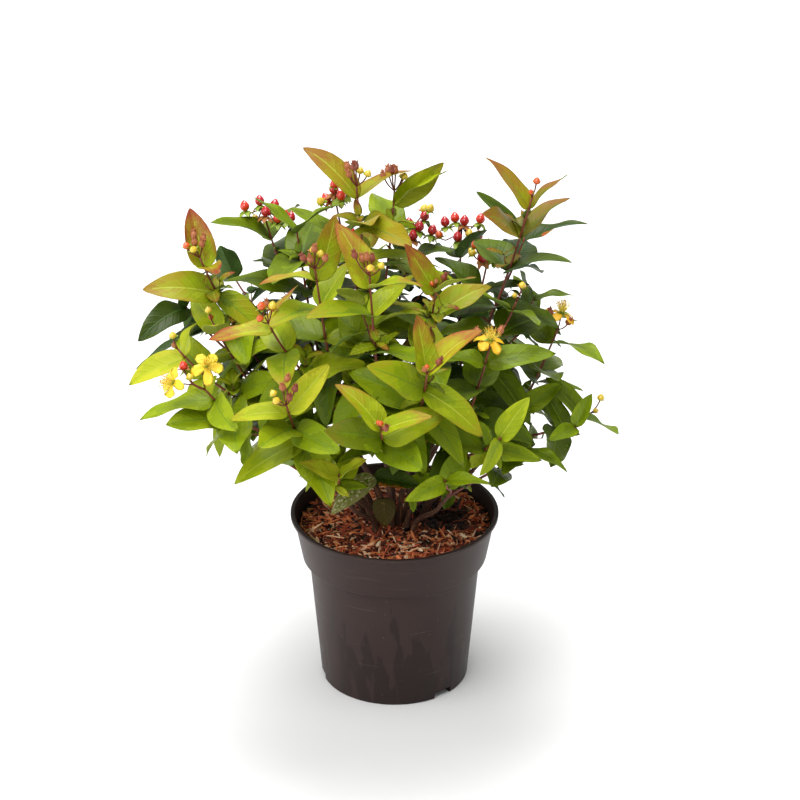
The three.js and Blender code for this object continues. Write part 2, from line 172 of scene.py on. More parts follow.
# The plant's own rule of growth, from the ground up, in mm and degrees
mulch = {"ground": 157.3, "level": 154, "mound": 3, "wallRadius": 87.5}
stem = {"clump": 36, "apart": 9, "fullLean": 1.5, "footRadius": 2.7, "endRadius": 1.8, "flare": 0.35,
        "forkShare": 0.34, "forkRise": 12, "pushes": 80, "sides": 18, "rows": 48}
stalk = {"length": 12, "footRadius": 1.8, "endRadius": 1.7, "gap": 0.3, "overlap": 1, "sides": 12,
         "rows": 8}
shoot = {"footRadius": 1.6, "endRadius": 0.85, "firstInternode": 23, "internode": 33, "bareFoot": 20,
         "upturn": 0.35, "sink": 1.2, "sinkStep": 0.7}
twig = {"share": 0.16, "length": 44, "lengthSpread": [0.8, 1.25], "footRadius": 1, "endRadius": 0.6,
        "internode": 21, "open": 42, "upturn": 0.25, "sizes": [0.62, 0.7], "tip": 1.5, "turn": 0.5,
        "place": 40}
spur = {"share": 0.44, "length": [9, 20], "sizes": [0.26, 0.4], "open": 36, "upturn": 0.3, "step": 0.55,
        "footRadius": 0.5, "endRadius": 0.35, "place": 200}
pairs = {"open": [42, 78], "openByLean": 28, "openSpread": 9, "turnSpread": 13, "sag": [0.02, 0.3],
         "sagSpread": 0.4, "oldAt": 3, "faceUp": 0.9, "sizes": [0.82, 0.97, 1.03, 1.02], "footSize": 0.82}
leaf = {"length": 61, "lengthSpread": 0.14, "widthShare": 0.475, "widthSpread": 0.1, "youngWidth": 0.88,
        "thickness": 0.36, "fold": 0.2, "foldMore": 1.15, "foldSpread": 0.75, "rise": 0.12, "droop": 0.26,
        "droopSpread": 0.5, "twist": 30, "wave": 0.28, "waves": 1.4, "sway": 0.05, "curl": 0.06}
skirt = {"floor": 180, "from": 60, "to": 100, "step": 50, "slope": 0.5, "ceiling": 249}
neck = {"berries": 30, "young": 10, "buds": 12, "single": 11, "pip": 4, "flower": 14, "flowers": 14,
        "none": 4}

# Each shoot: where its head is, what it bears, how its top pair is turned, how large its leaves are
# and how they are tinted
masses = {
    "crown_top": [(-33, 8, 484, "buds", 0, 1.1, "bronze"), (0, 40, 466, "buds", 0, 1.1, "lime"),
                  (-52, 78, 436, "berries", 0, 1, "green")],
    "upper_front_left": [(-68, -70, 440, "buds", 35, 1, "flushed"),
                         (-108, -90, 398, "young", 5, 1, "flushed")],
    "upper_left": [(-172, 12, 414, "buds", 75, 1.15, "red"), (-194, 60, 352, "young", 20, 1.1, "dark")],
    "left": [(-190, -36, 347, "single", 0, 1, "lime"), (-160, -14, 362, "single", 85, 1, "lime")],
    "lower_front_left": [(-164, -88, 333, "flowers", 0, 1.1, "fresh"),
                         (-92, -138, 343, "buds", 15, 1, "lime")],
    "front": [(-21, -85, 440, "buds", 60, 1, "flushed"), (-11, -172, 338, "pip", 30, 1, "flushed")],
    "front_right": [(28, -140, 375, "pip", 50, 1, "flushed"), (36, -50, 412, "pip", 70, 1, "red")],
    "right_front": [(82, -78, 366, "flower", 15, 1, "green"), (92, -118, 302, "none", 40, 0.84, "fresh")],
    "upper_right": [(121, 20, 468, "single", 5, 1, "olive"), (107, -25, 388, "single", 45, 1.1, "green")],
    "right": [(146, 15, 342, "flower", 0, 1.1, "green"), (176, -24, 279, "single", 0, 1.05, "green")],
    "back_left": [(-120, 108, 420, "berries", 0, 1.15, "deep"), (-88, 62, 420, "none", 20, 1.1, "green"),
                  (-150, 142, 338, "pip", 60, 1, "dark")],
    "back": [(16, 112, 400, "berries", 30, 1, "dark"), (-44, 172, 345, "berries", 0, 1, "green")],
    "back_right": [(62, 134, 392, "berries", 60, 1, "dark"), (84, 80, 378, "berries", 20, 1, "dark"),
                   (118, 92, 398, "none", 0, 1.1, "dark"), (132, 118, 312, "none", 45, 1, "deep")],
    "low_front_left": [(-48, -122, 268, "none", 20, 0.72, "lime"),
                       (-112, -76, 272, "none", 60, 0.8, "green")],
    "low_front_right": [(44, -128, 266, "none", 45, 0.78, "fresh"),
                        (116, -60, 262, "none", 10, 0.9, "green")],
    "low_back": [(62, 170, 282, "none", 20, 1, "deep"), (-84, 162, 272, "none", 40, 1, "deep")],
    "low_left": [(-134, 40, 268, "none", 0, 0.9, "green")],
    "low_right": [(130, 66, 268, "none", 30, 0.9, "deep")],
}

# How the leaves that stand out in the photograph lie: by shoot and pair, how far each tip is to the
# right of the pair's foot and above it, as the camera sees it in mm, and towards it (1) or away (-1)
aims = {
    (1, 0): [(-50, 46, -1), (46, 32, -1)], (1, 1): [(42, -14, 1), None],
    (2, 0): [(36, 46, 1), None], (4, 0): [(17, 56, 1), (-47, 4, 1)],
    (5, 0): [(-54, -11, 1), (31, 42, -1)], (6, 0): [(-12, 54, -1), (14, -6, 1)],
    (6, 1): [(-60, 12, 1), (44, -42, 1)], (7, 0): [(-56, -10, 1), None],
    (8, 0): [(-49, -25, 1), (8, 42, -1)], (10, 0): [(-66, -13, 1), (20, -24, 1)],
    (10, 1): [(-60, -10, 1), (4, -30, 1)], (11, 0): [(38, 44, 1), (-50, -4, 1)],
    (11, 1): [(42, -20, 1), (-30, -16, 1)], (12, 0): [(-27, 56, 1), (44, -2, 1)],
    (13, 0): [(-35, 41, 1), (43, 9, 1)], (13, 1): [(48, 36, -1), (-42, 6, 1)],
    (13, 2): [(36, -28, 1), (-26, -4, 1)], (13, 3): [(-36, -14, -1), (30, -16, -1)],
    (14, 0): [(-13, 50, 1), (45, 40, 1)], (14, 1): [(-50, 22, 1), (52, -36, 1)],
    (15, 0): [(-27, 42, 1), (34, 13, 1)], (16, 0): [(60, 13, 1), (-46, 6, 1)],
    (17, 0): [(-16, -30, 1), (26, 34, 1)], (18, 0): [(-39, 45, -1), (35, 30, -1)],
    (18, 1): [(-29, 20, 1), (43, 42, -1)], (18, 2): [(-31, 30, -1), (47, 13, 1)],
    (18, 3): [(43, -25, 1), (-40, -10, 1)], (19, 0): [(22, -14, 1), (-44, 12, 1)],
    (20, 0): [(42, -9, 1), (-30, 20, -1)], (21, 0): [(35, -19, 1), (-41, 28, -1)],
    (22, 0): [(-52, 14, 1), (26, 34, -1)], (31, 0): [(-34, 10, 1), (26, 14, 1)],
    (31, 1): [(-22, 18, -1), (18, 30, -1)], (31, 2): [(-20, 26, -1), (14, 30, -1)],
    (32, 0): [(-22, -4, 1), (28, -8, 1)], (32, 1): [(-30, 8, 1), (24, 4, -1)],
    (33, 0): [(-32, -15, 1), (39, -2, 1)], (34, 0): [(36, -20, 1), (-16, -24, 1)],
}
aiming = {"longest": 1.2, "facing": 0.6}

# Leaves low on the stems, over the mulch and the rim: where each short twig ends, and for each of its
# leaves the tip, the width and the tint
lowTwigs = [
    ((-18, -70, 239), [((-56, -98, 214), 21, "dusty"), ((22, -76, 229), 18, "dark")]),
    ((-9, -52, 208), [((-9, -58, 181), 21, "shade")]),
    ((16, -50, 210), [((16, -56, 195), 7, "green")]),
    ((8, -50, 238), [((-16, -76, 255), 18, "lime")]),
    ((86, -60, 277), [((70, -84, 255), 24, "lime")]),
    ((83, -10, 202), [((100, -30, 197), 9, "dark")]),
    ((49, -30, 202), [((44, -40, 189), 12, "deep")]),
    ((-67, -30, 234), [((-65, -40, 211), 15, "green")]),
    ((-51, -12, 219), [((-63, -24, 200), 14, "deep")]),
    ((-49, -60, 264), [((-78, -82, 252), 22, "lime")]),
]
# The same round the sides and the back, where the photograph does not look
unseen = {"count": 11, "from": -15, "to": 195, "radius": [40, 68], "height": [198, 236],
          "length": [30, 46], "aside": [0.3, 1], "outward": 0.7, "sag": 0.45, "widthShare": 0.48,
          "place": 7, "stagger": 0.5, "tints": ["green", "deep", "green", "dark", "lime"]}
# The short twigs themselves, numbered after the shoots. Each grows from the nearest point of a stem, and
# a point that isn't well under the twig's end counts as farther off
lowTwig = {"footRadius": 0.8, "endRadius": 0.5, "upturn": 0.6, "stalk": 0.5, "facing": 0.7, "number": 100,
           "place": 900, "stemFrom": 0.2, "tries": 17, "under": 12, "steep": 4}

# What each settled draw is for, and the number it goes by
trait = {"turn": 1, "open": 2, "sag": 3, "length": 4, "width": 5, "bearing": 1, "radius": 2, "height": 3,
         "reach": 4, "aside": 6, "sepal": 5, "petal": 7, "twig": 31, "twigSide": 32, "twigLength": 33,
         "stamenOpen": 41, "stamenLength": 42, "headTurn": 50, "fruitOpen": 51, "fruitReach": 52, "skin": 53,
         "spur": 60, "spurLength": 62, "twist": 71, "wave": 72, "waveFoot": 73, "droop": 74, "fold": 75,
         "sway": 76, "curl": 77, "green": 80, "flush": 83, "facing": 86, "speckle": 90, "cloudAlong": 91,
         "cloudAcross": 92, "dried": 93, "driedEdge": 94, "driedPlace": 95, "blotchAlong": 96,
         "blotchAcross": 97}


def draw(number, place, name, more=0):  # a settled number from 0 to 1 for one trait of one place on a shoot
    wave = math.sin(number * 127.1 + place * 311.7 + (trait[name] + more) * 74.7) * 43758.5453
    return wave - math.floor(wave)


def mixed(low, high, share):
    return low + (high - low) * share


def either(plan, spread, name):  # a settled number from minus to plus a spread, for one trait of a leaf
    return mixed(-spread, spread, draw(plan["number"], plan["place"], name, plan["half"] * 10))


def curveThrough(points):  # a line of points that is walked by its own length
    steps = np.linalg.norm(np.diff(points, axis=0), axis=1)
    return {"points": points, "lengths": np.concatenate([[0], np.cumsum(steps)])}


def bentLine(foot, footHeading, end, endHeading, steps=120, pull=0.36):
    reach = (end - foot).length * pull
    corners = [foot, foot + footHeading * reach, end - endHeading * reach, end]
    t = np.linspace(0, 1, steps + 1)[:, None]
    weights = [(1 - t) ** 3, 3 * t * (1 - t) ** 2, 3 * t * t * (1 - t), t ** 3]
    return curveThrough(sum(weight * np.array(corner) for weight, corner in zip(weights, corners)))


def straightLine(foot, heading, length):
    return curveThrough(np.array([foot + heading * (length * i / 4) for i in range(5)]))


def at(curve, share):  # the point and the heading at a share of a curve's length
    lengths, points = curve["lengths"], curve["points"]
    walked = share * lengths[-1]
    i = int(np.clip(np.searchsorted(lengths, walked, side="right") - 1, 0, len(points) - 2))
    step = points[i + 1] - points[i]
    part = (walked - lengths[i]) / (lengths[i + 1] - lengths[i])
    return Vector(points[i] + step * part), Vector(step).normalized()


def around(along):  # two directions square to a limb
    side = along.cross(depth).normalized()
    return side, side.cross(along)


def opened(along, bearing, angle):  # a heading that opens from the limb's own by an angle
    side, other = around(along)
    out = side * math.cos(bearing) + other * math.sin(bearing)
    return along * math.cos(angle) + out * math.sin(angle)


def squareTo(heading, face):  # the face, turned square to a heading
    return (face - heading * face.dot(heading)).normalized()


def acrossAt(bearing):  # the level directions out from the pot's axis and round it
    outward = Vector((math.cos(bearing), math.sin(bearing), 0))
    return outward, Vector((-outward.y, outward.x, 0))


def spinsOf(sides):
    return np.linspace(0, 2 * math.pi, sides, endpoint=False)


def ringOf(centre, along, radius, spins):  # a ring of points square to a heading
    side, other = around(along)
    out = np.cos(spins)[:, None] * np.array(side) + np.sin(spins)[:, None] * np.array(other)
    return np.array(centre) + out * (radius * np.ones(len(spins)))[:, None]


def middleOf(shoots):
    return sum((Vector(one[:3]) for one in shoots), Vector()) / len(shoots)


# Where the stems leave the mulch: each under its own mass, pushed apart in the clump
def feetOf(allShoots):
    feet = []
    for shoots in allShoots:
        middle = middleOf(shoots)
        flat = Vector((middle.x, middle.y, 0))
        lean = flat.length / (middle.z - mulch["ground"])
        out = stem["clump"] * min(lean / stem["fullLean"], 1)
        feet.append(flat.normalized() * out + up * mulch["ground"])
    for _ in range(stem["pushes"]):
        for i, foot in enumerate(feet):
            for other in feet[i + 1:]:
                between = other - foot
                short = stem["apart"] - between.length
                if short > 0:
                    push = between.normalized() * (short / 2)
                    other += push
                    foot -= push
    return feet


# A stem up to its fork, the stalk that holds the shoots together there, and the line of each shoot
def skeletonOf(shoots, foot):
    middle = middleOf(shoots)
    fork = foot.lerp(middle, stem["forkShare"])
    heading = (middle - fork + up * stem["forkRise"]).normalized()
    split = fork + heading * (stalk["length"] + stalk["gap"])
    curves = []
    for i, one in enumerate(shoots):
        end = Vector(one[:3])
        leaning = ((end - split).normalized() + up * shoot["upturn"]).normalized()
        start = split - heading * (shoot["sink"] + i * shoot["sinkStep"])
        curves.append(bentLine(start, heading, end, leaning))
    overlap = stalk["overlap"]
    joint = straightLine(fork - heading * overlap, heading, stalk["length"] + 2 * overlap)
    return bentLine(foot, up, fork, heading), joint, curves


# A pair of opposite leaves. Older pairs, lower on the shoot, spread wider and sag more
def leafPair(point, along, age, turn, number, place, size, tint, grade=0):
    old = min(age / pairs["oldAt"], 1)
    lean = pairs["openByLean"] * math.hypot(along.x, along.y)
    plans = []
    for half in (0, 1):
        plan = {"root": point, "age": age, "number": number, "place": place, "half": half, "tint": tint,
                "grade": grade}
        bearing = turn + math.pi * half + math.radians(either(plan, pairs["turnSpread"], "turn"))
        angle = mixed(*pairs["open"], old) + lean + either(plan, pairs["openSpread"], "open")
        heading = opened(along, bearing, math.radians(angle))
        heading.z -= mixed(*pairs["sag"], old) * (1 + either(plan, pairs["sagSpread"], "sag"))
        heading.normalize()
        length = leaf["length"] * size * (1 + either(plan, leaf["lengthSpread"], "length"))
        width = length * leaf["widthShare"] * (1 + either(plan, leaf["widthSpread"], "width"))
        width *= leaf["youngWidth"] if age == 0 else 1
        plans.append({**plan, "along": heading, "face": squareTo(heading, along + up * pairs["faceUp"]),
                      "length": length, "width": width})
    return plans


# Turns a leaf so that its tip lies where the photograph shows it
def aimed(plan, aim):
    across, rise, near = aim
    length = max(plan["length"], min(math.hypot(across, rise), plan["length"] * aiming["longest"]))
    left = math.sqrt(max(length ** 2 - across ** 2 - rise ** 2, 0))
    offset = fromView(across, rise, near * left)
    along = (offset.normalized() + plan["face"] * (leaf["droop"] - leaf["rise"])).normalized()
    facing = draw(plan["number"], plan["place"], "facing", plan["half"])
    face = squareTo(along, plan["face"] + towards * mixed(0, aiming["facing"], facing))
    width = plan["width"] * length / plan["length"]
    return {**plan, "along": along, "face": face, "length": length, "width": width, "aimed": True}


def pairPlaces(length, bare):
    places, walked = [], bare
    while walked < length - shoot["bareFoot"]:
        places.append(walked)
        walked += mixed(shoot["firstInternode"], shoot["internode"], min(len(places) / 2, 1))
    return places


def sideLimb(kind, point, along, bearing, reach):  # the heading and the line of a twig or a spur
    heading = opened(along, bearing, math.radians(kind["open"]))
    heading = (heading + up * kind["upturn"]).normalized()
    return heading, straightLine(point, heading, reach)


# One shoot: its limbs, its pairs of leaves, side twigs, and short leafy spurs in the leaves' angles
def growShoot(curve, number, head, turn, scale, tint):
    length = curve["lengths"][-1]
    limbs, leaves, fine = [(curve, shoot, "shoot", number)], [], []
    places = pairPlaces(length, neck[head])
    for place, walked in enumerate(places):
        point, along = at(curve, 1 - walked / length)
        bearing = math.radians(turn) + math.pi / 2 * place
        size = pairs["sizes"][min(place, 3)] * (pairs["footSize"] if place == len(places) - 1 else 1)
        pair = leafPair(point, along, place, bearing, number, place, size * scale, tint)
        wanted = aims.get((number, place), [None, None])
        leaves += [aimed(plan, aim) if aim else plan for plan, aim in zip(pair, wanted)]
        if place == 0:
            continue
        for half in (0, 1):
            if draw(number, place, "spur", half) > spur["share"]:
                continue
            reach = mixed(*spur["length"], draw(number, place, "spurLength", half))
            heading, line = sideLimb(spur, point, along, bearing + math.pi * half, reach)
            limbs.append((line, spur, "twig", number))
            for i, small in enumerate(spur["sizes"]):
                stand = at(line, 1 - i * spur["step"])[0]
                fine += leafPair(stand, heading, i, bearing + math.pi / 2 * i, number,
                                 spur["place"] + place * 8 + half * 4 + i, small, tint, 1)
        if draw(number, place, "twig") > twig["share"]:
            continue
        side = 0 if draw(number, place, "twigSide") < 0.5 else math.pi
        reach = twig["length"] * mixed(*twig["lengthSpread"], draw(number, place, "twigLength"))
        heading, line = sideLimb(twig, point, along, bearing + side, reach)
        limbs.append((line, twig, "twig", number))
        for i, small in enumerate(twig["sizes"]):
            stand = at(line, 1 - (twig["tip"] + i * twig["internode"]) / reach)[0]
            leaves += leafPair(stand, heading, i, bearing + math.pi / 2 * i + twig["turn"], number,
                               twig["place"] + place * 4 + i, small, tint)
    return limbs, leaves, fine


# Half the leaf's width along its length, as a share of its width: rounded foot, long acute tip
outline = {"shares": [0, 0.03, 0.08, 0.16, 0.26, 0.4, 0.55, 0.68, 0.8, 0.9, 0.96, 1],
           "halves": [0.1, 0.25, 0.39, 0.485, 0.525, 0.525, 0.49, 0.425, 0.32, 0.19, 0.105, 0.02]}
leafGrids = {
    "plain": {"rows": 13, "across": [-1, -0.93, -0.62, -0.3, -0.035, 0.035, 0.3, 0.62, 0.93, 1]},
    "fine": {"rows": 26, "across": [-1, -0.94, -0.8, -0.65, -0.5, -0.34, -0.18, -0.035, 0.035, 0.18, 0.34,
                                    0.5, 0.65, 0.8, 0.94, 1]},
    "small": {"rows": 7, "across": [-1, -0.5, -0.06, 0.06, 0.5, 1]},
    "probe": {"rows": 5, "across": [-0.94, 0, 0.94]},
}


# The upper face of a leaf: folded at its midrib, arched, a little twisted and waved at its margins
def bladePoints(plan, rows, across):
    s = np.linspace(0, 1, rows + 1)[:, None]
    u = np.array(across)[None, :]
    length = plan["length"]
    wide = u * np.interp(s, outline["shares"], plan.get("halves", outline["halves"])) * plan["width"]
    twist = math.radians(either(plan, leaf["twist"], "twist")) * s
    phase = 2 * math.pi * (s * leaf["waves"] + either(plan, 0.5, "waveFoot")) + 1.2 * np.sign(u)
    wave = either(plan, leaf["wave"], "wave") * np.sin(phase)
    bend = leaf["droop"] * (1 + either(plan, leaf["droopSpread"], "droop")) * s * s
    fold = leaf["fold"] * (leaf["foldMore"] + either(plan, leaf["foldSpread"], "fold"))
    high = (leaf["rise"] * s - bend - leaf["curl"] * either(plan, 1, "curl") * s ** 5) * length
    high = high + fold * np.abs(wide) + wave * u * u * np.abs(wide)
    sideways = wide * np.cos(twist) + either(plan, leaf["sway"], "sway") * s * s * length
    high = high + wide * np.sin(twist)
    along, face = np.array(plan["along"]), np.array(plan["face"])
    side = np.cross(along, face)
    return (np.array(plan["root"]) + (s * length + 0 * u)[..., None] * along
            + sideways[..., None] * side + high[..., None] * face)


# A leaf with an upper and an under face that meet at its margin
def leafChunk(plan, gridName, looks):
    grid = leafGrids[gridName]
    rows, across = grid["rows"], grid["across"]
    upper = bladePoints(plan, rows, across)
    count = len(across)
    index = np.arange((rows + 1) * count).reshape(rows + 1, count)
    under = index.copy()
    inner = (slice(1, rows), slice(1, count - 1))
    under[inner] = index.size + np.arange((rows - 1) * (count - 2)).reshape(rows - 1, count - 2)
    lower = upper[inner] - np.array(plan["face"]) * plan.get("thickness", leaf["thickness"])
    points = np.concatenate([upper.reshape(-1, 3), lower.reshape(-1, 3)])
    s, u = np.meshgrid(np.linspace(0, 1, rows + 1), (np.array(across) + 1) / 2, indexing="ij")
    flat = np.stack([u, s], axis=-1)
    maps = np.concatenate([flat.reshape(-1, 2), flat[inner].reshape(-1, 2)])
    upperLooks, underLook = looks(plan, rows, np.array(across))
    faces = [(quadsOf(index)[:, ::-1], upperLooks.ravel()), (quadsOf(under), underLook)]
    return {"points": points, "faces": faces, "map": maps}


# Living leaf with a satin cuticle: soft broad highlights, and side veins that arch to the tip. The
# tints are plain colours dealt out by leaf and small face: a scale of greens from yellow-green to the
# darkest, and three scales from olive to red for the flush on light, middling and deep leaves
bladeTones = ["aaab24", "9ea61b", "929e13", "84940d", "768909", "697d07", "5d6f07", "4f6107", "445508",
              "3a4a09", "31410b", "2a3d10"]
flushTones = ["98961a", "968b1c", "947e1e", "937020", "936023", "935023", "8f4121", "88331f"]
midFlushTones = ["84900e", "8a8a12", "8c7e16", "8a701a", "89611d", "87521f", "84431f", "7e361d"]
deepFlushTones = ["64720b", "6c710f", "746c14", "7b651a", "80591e", "824c21", "803f23", "7a3223"]
leafTones = {**{f"blade{i}": (one, 0.45 - i * 0.008) for i, one in enumerate(bladeTones)},
             **{f"flush{i}": (one, 0.44) for i, one in enumerate(flushTones)},
             **{f"midFlush{i}": (one, 0.43) for i, one in enumerate(midFlushTones)},
             **{f"deepFlush{i}": (one, 0.42) for i, one in enumerate(deepFlushTones)},
             "limeRib": ("a0a934", 0.5), "greenRib": ("637c1e", 0.5), "darkRib": ("405d22", 0.5),
             "limeUnder": ("96a03a", 0.6), "greenUnder": ("74893a", 0.6), "darkUnder": ("4e6a2e", 0.6),
             "shadeBlade": ("352c08", 0.75), "shadeRib": ("4a3c10", 0.7),
             "dustyBlade": ("84804f", 0.75), "dustSpeck": ("b4b08a", 0.8), "driedEdge": ("9c5222", 0.75)}
veins = {"count": 6.5, "arch": 1.6, "width": 0.2, "ribWidth": 0.05, "blister": 0.45, "cell": 1.6 * mm,
         "patch": 9 * mm, "relief": 0.35 * mm, "strength": 0.55, "smoother": 0.07, "rougher": 0.09}


def leafCuticle(tree, shader, roughness):
    parts = addNode(tree, "SeparateXYZ", {"Vector": addNode(tree, "UVMap", {}, uv_map="growthMap")})
    offset = addNode(tree, "Math", {0: parts.outputs["X"], 1: 0.5}, operation="SUBTRACT")
    aside = addNode(tree, "Math", {0: offset}, operation="ABSOLUTE")
    arched = addNode(tree, "Math", {0: aside, 1: -veins["arch"] * 2}, operation="MULTIPLY")
    phase = addNode(tree, "Math", {0: parts.outputs["Y"], 1: veins["count"], 2: arched},
                    operation="MULTIPLY_ADD")
    saw = addNode(tree, "Math", {0: phase, 1: 0.5}, operation="PINGPONG")
    vein = addNode(tree, "MapRange", {"Value": saw, "From Max": veins["width"]},
                   interpolation_type="SMOOTHSTEP")
    rib = addNode(tree, "MapRange", {"Value": aside, "From Max": veins["ribWidth"], "To Min": -1,
                                     "To Max": 0}, interpolation_type="SMOOTHSTEP")
    where = addNode(tree, "TexCoord", {}).outputs["Object"]
    cells = addNode(tree, "TexNoise", {"Vector": where, "Scale": 1 / veins["cell"], "Detail": 3})
    blistered = addNode(tree, "Math", {0: cells, 1: veins["blister"], 2: vein}, operation="MULTIPLY_ADD")
    height = addNode(tree, "Math", {0: blistered, 1: rib}, operation="ADD")
    patches = addNode(tree, "TexNoise", {"Vector": where, "Scale": 1 / veins["patch"]})
    addRelief(tree, shader, height, patches, roughness, veins)


leafSurfaces, tone = surfacesOf("leafCuticle_", leafTones, leafCuticle, 1.44, 0.18)

# How a shoot's leaves are tinted: where they start and end on the scale of greens when young, grown and
# old, how strongly they flush, and how much of the flush lies on the whole blade
tints = {
    "lime": {"young": [0.5, 2.5], "grown": [1.5, 4.5], "old": [4, 8.5], "flush": 0.3, "all": 0},
    "flushed": {"young": [0.5, 3], "grown": [2, 5], "old": [4.5, 8.5], "flush": 0.86, "all": 0.06},
    "red": {"young": [2, 4], "grown": [2, 5], "old": [4, 7], "flush": 1.2, "all": 0.12},
    "bronze": {"young": [2, 5], "grown": [2.5, 5], "old": [4, 7], "flush": 0.6, "all": 0.26},
    "green": {"young": [4.2, 6.4], "grown": [5, 8], "old": [7, 10], "flush": 0.12, "all": 0},
    "fresh": {"young": [2.5, 4], "grown": [3, 5.5], "old": [5, 8], "flush": 0.05, "all": 0},
    "olive": {"young": [3, 5], "grown": [4.5, 8.5], "old": [8, 10], "flush": 0.8, "all": 0.3},
    "deep": {"young": [5.5, 8], "grown": [7.5, 10], "old": [8.5, 11], "flush": 0, "all": 0},
    "dark": {"young": [8, 10.5], "grown": [9, 11], "old": [9.5, 11], "flush": 0, "all": 0},
    "shade": {"young": [10, 10], "grown": [10, 10], "old": [10, 10], "flush": 0, "all": 0},
    "dusty": {"young": [6, 6], "grown": [6, 6], "old": [6, 6], "flush": 0, "all": 0},
}
flushing = {"ages": [1, 0.45, 0.14], "steps": [0.14, 0.22, 0.31, 0.4, 0.5, 0.61, 0.74, 0.9], "least": 0.2,
            "spread": [0.6, 1.2], "lightTo": 2, "middleTo": 4.5, "tip": 0.72, "edge": 0.24, "edgeFrom": 0.55,
            "edgeRun": 0.45, "blotch": 0.16, "grain": 0.03}
clouding = {"cloud": 0.6, "midrib": 1.1, "tip": 0.8}  # steps on the scale of greens
drying = {"share": 0.3, "edge": 0.74, "ragged": [0.16, 0.2], "places": [0.3, 0.7], "reach": 0.28,
          "redFrom": 0.7}  # the dried edges of some of the darkest leaves
dusting = {"from": 0.12, "speckFrom": 0.8}  # from which draw on a face is dusty, and from which paler
ribbing = {"width": 0.04, "to": 0.9, "flushTo": 0.5, "shadeWidth": 0.05, "shadeRagged": 0.3}
partTones = {"Rib": [3, 7.5], "Under": [4, 8]}  # where lime and green midribs and undersides end


def ageName(age):  # a pair's age is how many pairs stand above it on its shoot
    return "young" if age == 0 else "grown" if age < 3 else "old"


def greenOf(plan):  # the leaf's own place on the scale of greens
    scale = tints[plan["tint"]][ageName(plan["age"])]
    return mixed(*scale, draw(plan["number"], plan["place"], "green", plan["half"]))


def partTone(part, green):
    limeTo, greenTo = partTones[part]
    return tone[("lime" if green < limeTo else "green" if green < greenTo else "dark") + part]


def flushOf(plan):  # how red the leaf is, less with each older pair
    share = flushing["ages"][plan["age"]] if plan["age"] < len(flushing["ages"]) else 0
    spread = mixed(*flushing["spread"], draw(plan["number"], plan["place"], "flush"))
    return tints[plan["tint"]]["flush"] * share * spread


def gridOf(plan):  # leaves with patches of colour have a finer grid
    if plan["grade"] == 1:
        return "small"
    dried = plan["tint"] == "dark" and plan["age"] < 3
    return "fine" if flushOf(plan) > flushing["least"] or dried or plan["tint"] == "dusty" else "plain"


# Each small face's tone: the blade, its midrib, and a flush that runs in from the tip and the edge
def leafLooks(plan, rows, across):
    s = (np.arange(rows) + 0.5)[:, None] / rows
    u = ((across[1:] + across[:-1]) / 2)[None, :]
    number, place, tint = plan["number"], plan["place"] * 2 + plan["half"], plan["tint"]

    def phase(name):  # where a leaf's own pattern starts
        return draw(number, place, name) * 6
    speckle = np.array([[draw(number * 61 + i, place * 17 + j, "speckle") for j in range(len(across) - 1)]
                        for i in range(rows)])
    if tint == "shade":
        ribs = np.abs(u) + ribbing["shadeRagged"] * (speckle - 0.5) < ribbing["shadeWidth"]
        return np.where(ribs, tone["shadeRib"], tone["shadeBlade"]), tone["shadeBlade"]
    flush, green = flushOf(plan), greenOf(plan)
    cloud = np.sin(s * 7 + phase("cloudAlong")) * np.cos(u * 3 + phase("cloudAcross"))
    step = green + clouding["cloud"] * cloud + clouding["midrib"] * (0.4 - np.abs(u))
    step = np.clip(np.round(step - clouding["tip"] * (s - 0.5)), 0, len(bladeTones) - 1).astype(int)
    looks = np.array([tone[f"blade{i}"] for i in range(len(bladeTones))])[step]
    edge = np.clip((np.abs(u) - flushing["edgeFrom"]) / flushing["edgeRun"], 0, 1) ** 1.5
    blotch = np.sin(s * 11 + u * 3 + phase("blotchAlong")) * np.sin(u * 4 - s * 5 + phase("blotchAcross"))
    amount = flushing["tip"] * s ** 1.6 + flushing["edge"] * edge * (0.3 + s) + flushing["blotch"] * blotch
    amount = flush * amount + flushing["grain"] * (speckle - 0.5) + tints[tint]["all"] * (plan["age"] < 2)
    if flush > flushing["least"]:
        kind = "deepFlush"
        if green < flushing["middleTo"]:
            kind = "flush" if green < flushing["lightTo"] else "midFlush"
        for i, least in enumerate(flushing["steps"]):
            looks = np.where(amount > least, tone[f"{kind}{i}"], looks)
    if tint == "dark" and plan["grade"] == 0 and draw(number, place, "dried") < drying["share"]:
        wavy, rough = drying["ragged"]
        ragged = drying["edge"] + wavy * np.sin(s * 17 + phase("driedEdge")) + rough * (speckle - 0.5)
        middle = mixed(*drying["places"], draw(number, place, "driedPlace"))
        dry = (u > ragged) & (np.abs(s - middle) < drying["reach"])
        looks = np.where(dry, tone["driedEdge"], looks)
        looks = np.where(dry & (speckle > drying["redFrom"]), tone["flush3"], looks)
    under = partTone("Under", green)
    if tint == "dusty":
        under = tone["dustyBlade"]
        looks = np.where(speckle > dusting["from"], tone["dustyBlade"], looks)
        looks = np.where(speckle > dusting["speckFrom"], tone["dustSpeck"], looks)
    ribs = (np.abs(u) < ribbing["width"]) & (s < ribbing["to"])
    return np.where(ribs & (amount < ribbing["flushTo"]), partTone("Rib", green), looks), under


# The lowest a leaf may hang at this distance from the pot's axis
def lowest(radius):
    t = min(max((radius - skirt["from"]) / (skirt["to"] - skirt["from"]), 0), 1)
    opens = t * t * (3 - 2 * t) * skirt["step"]
    return min(skirt["floor"] + opens + max(0, radius - skirt["to"]) * skirt["slope"], skirt["ceiling"])


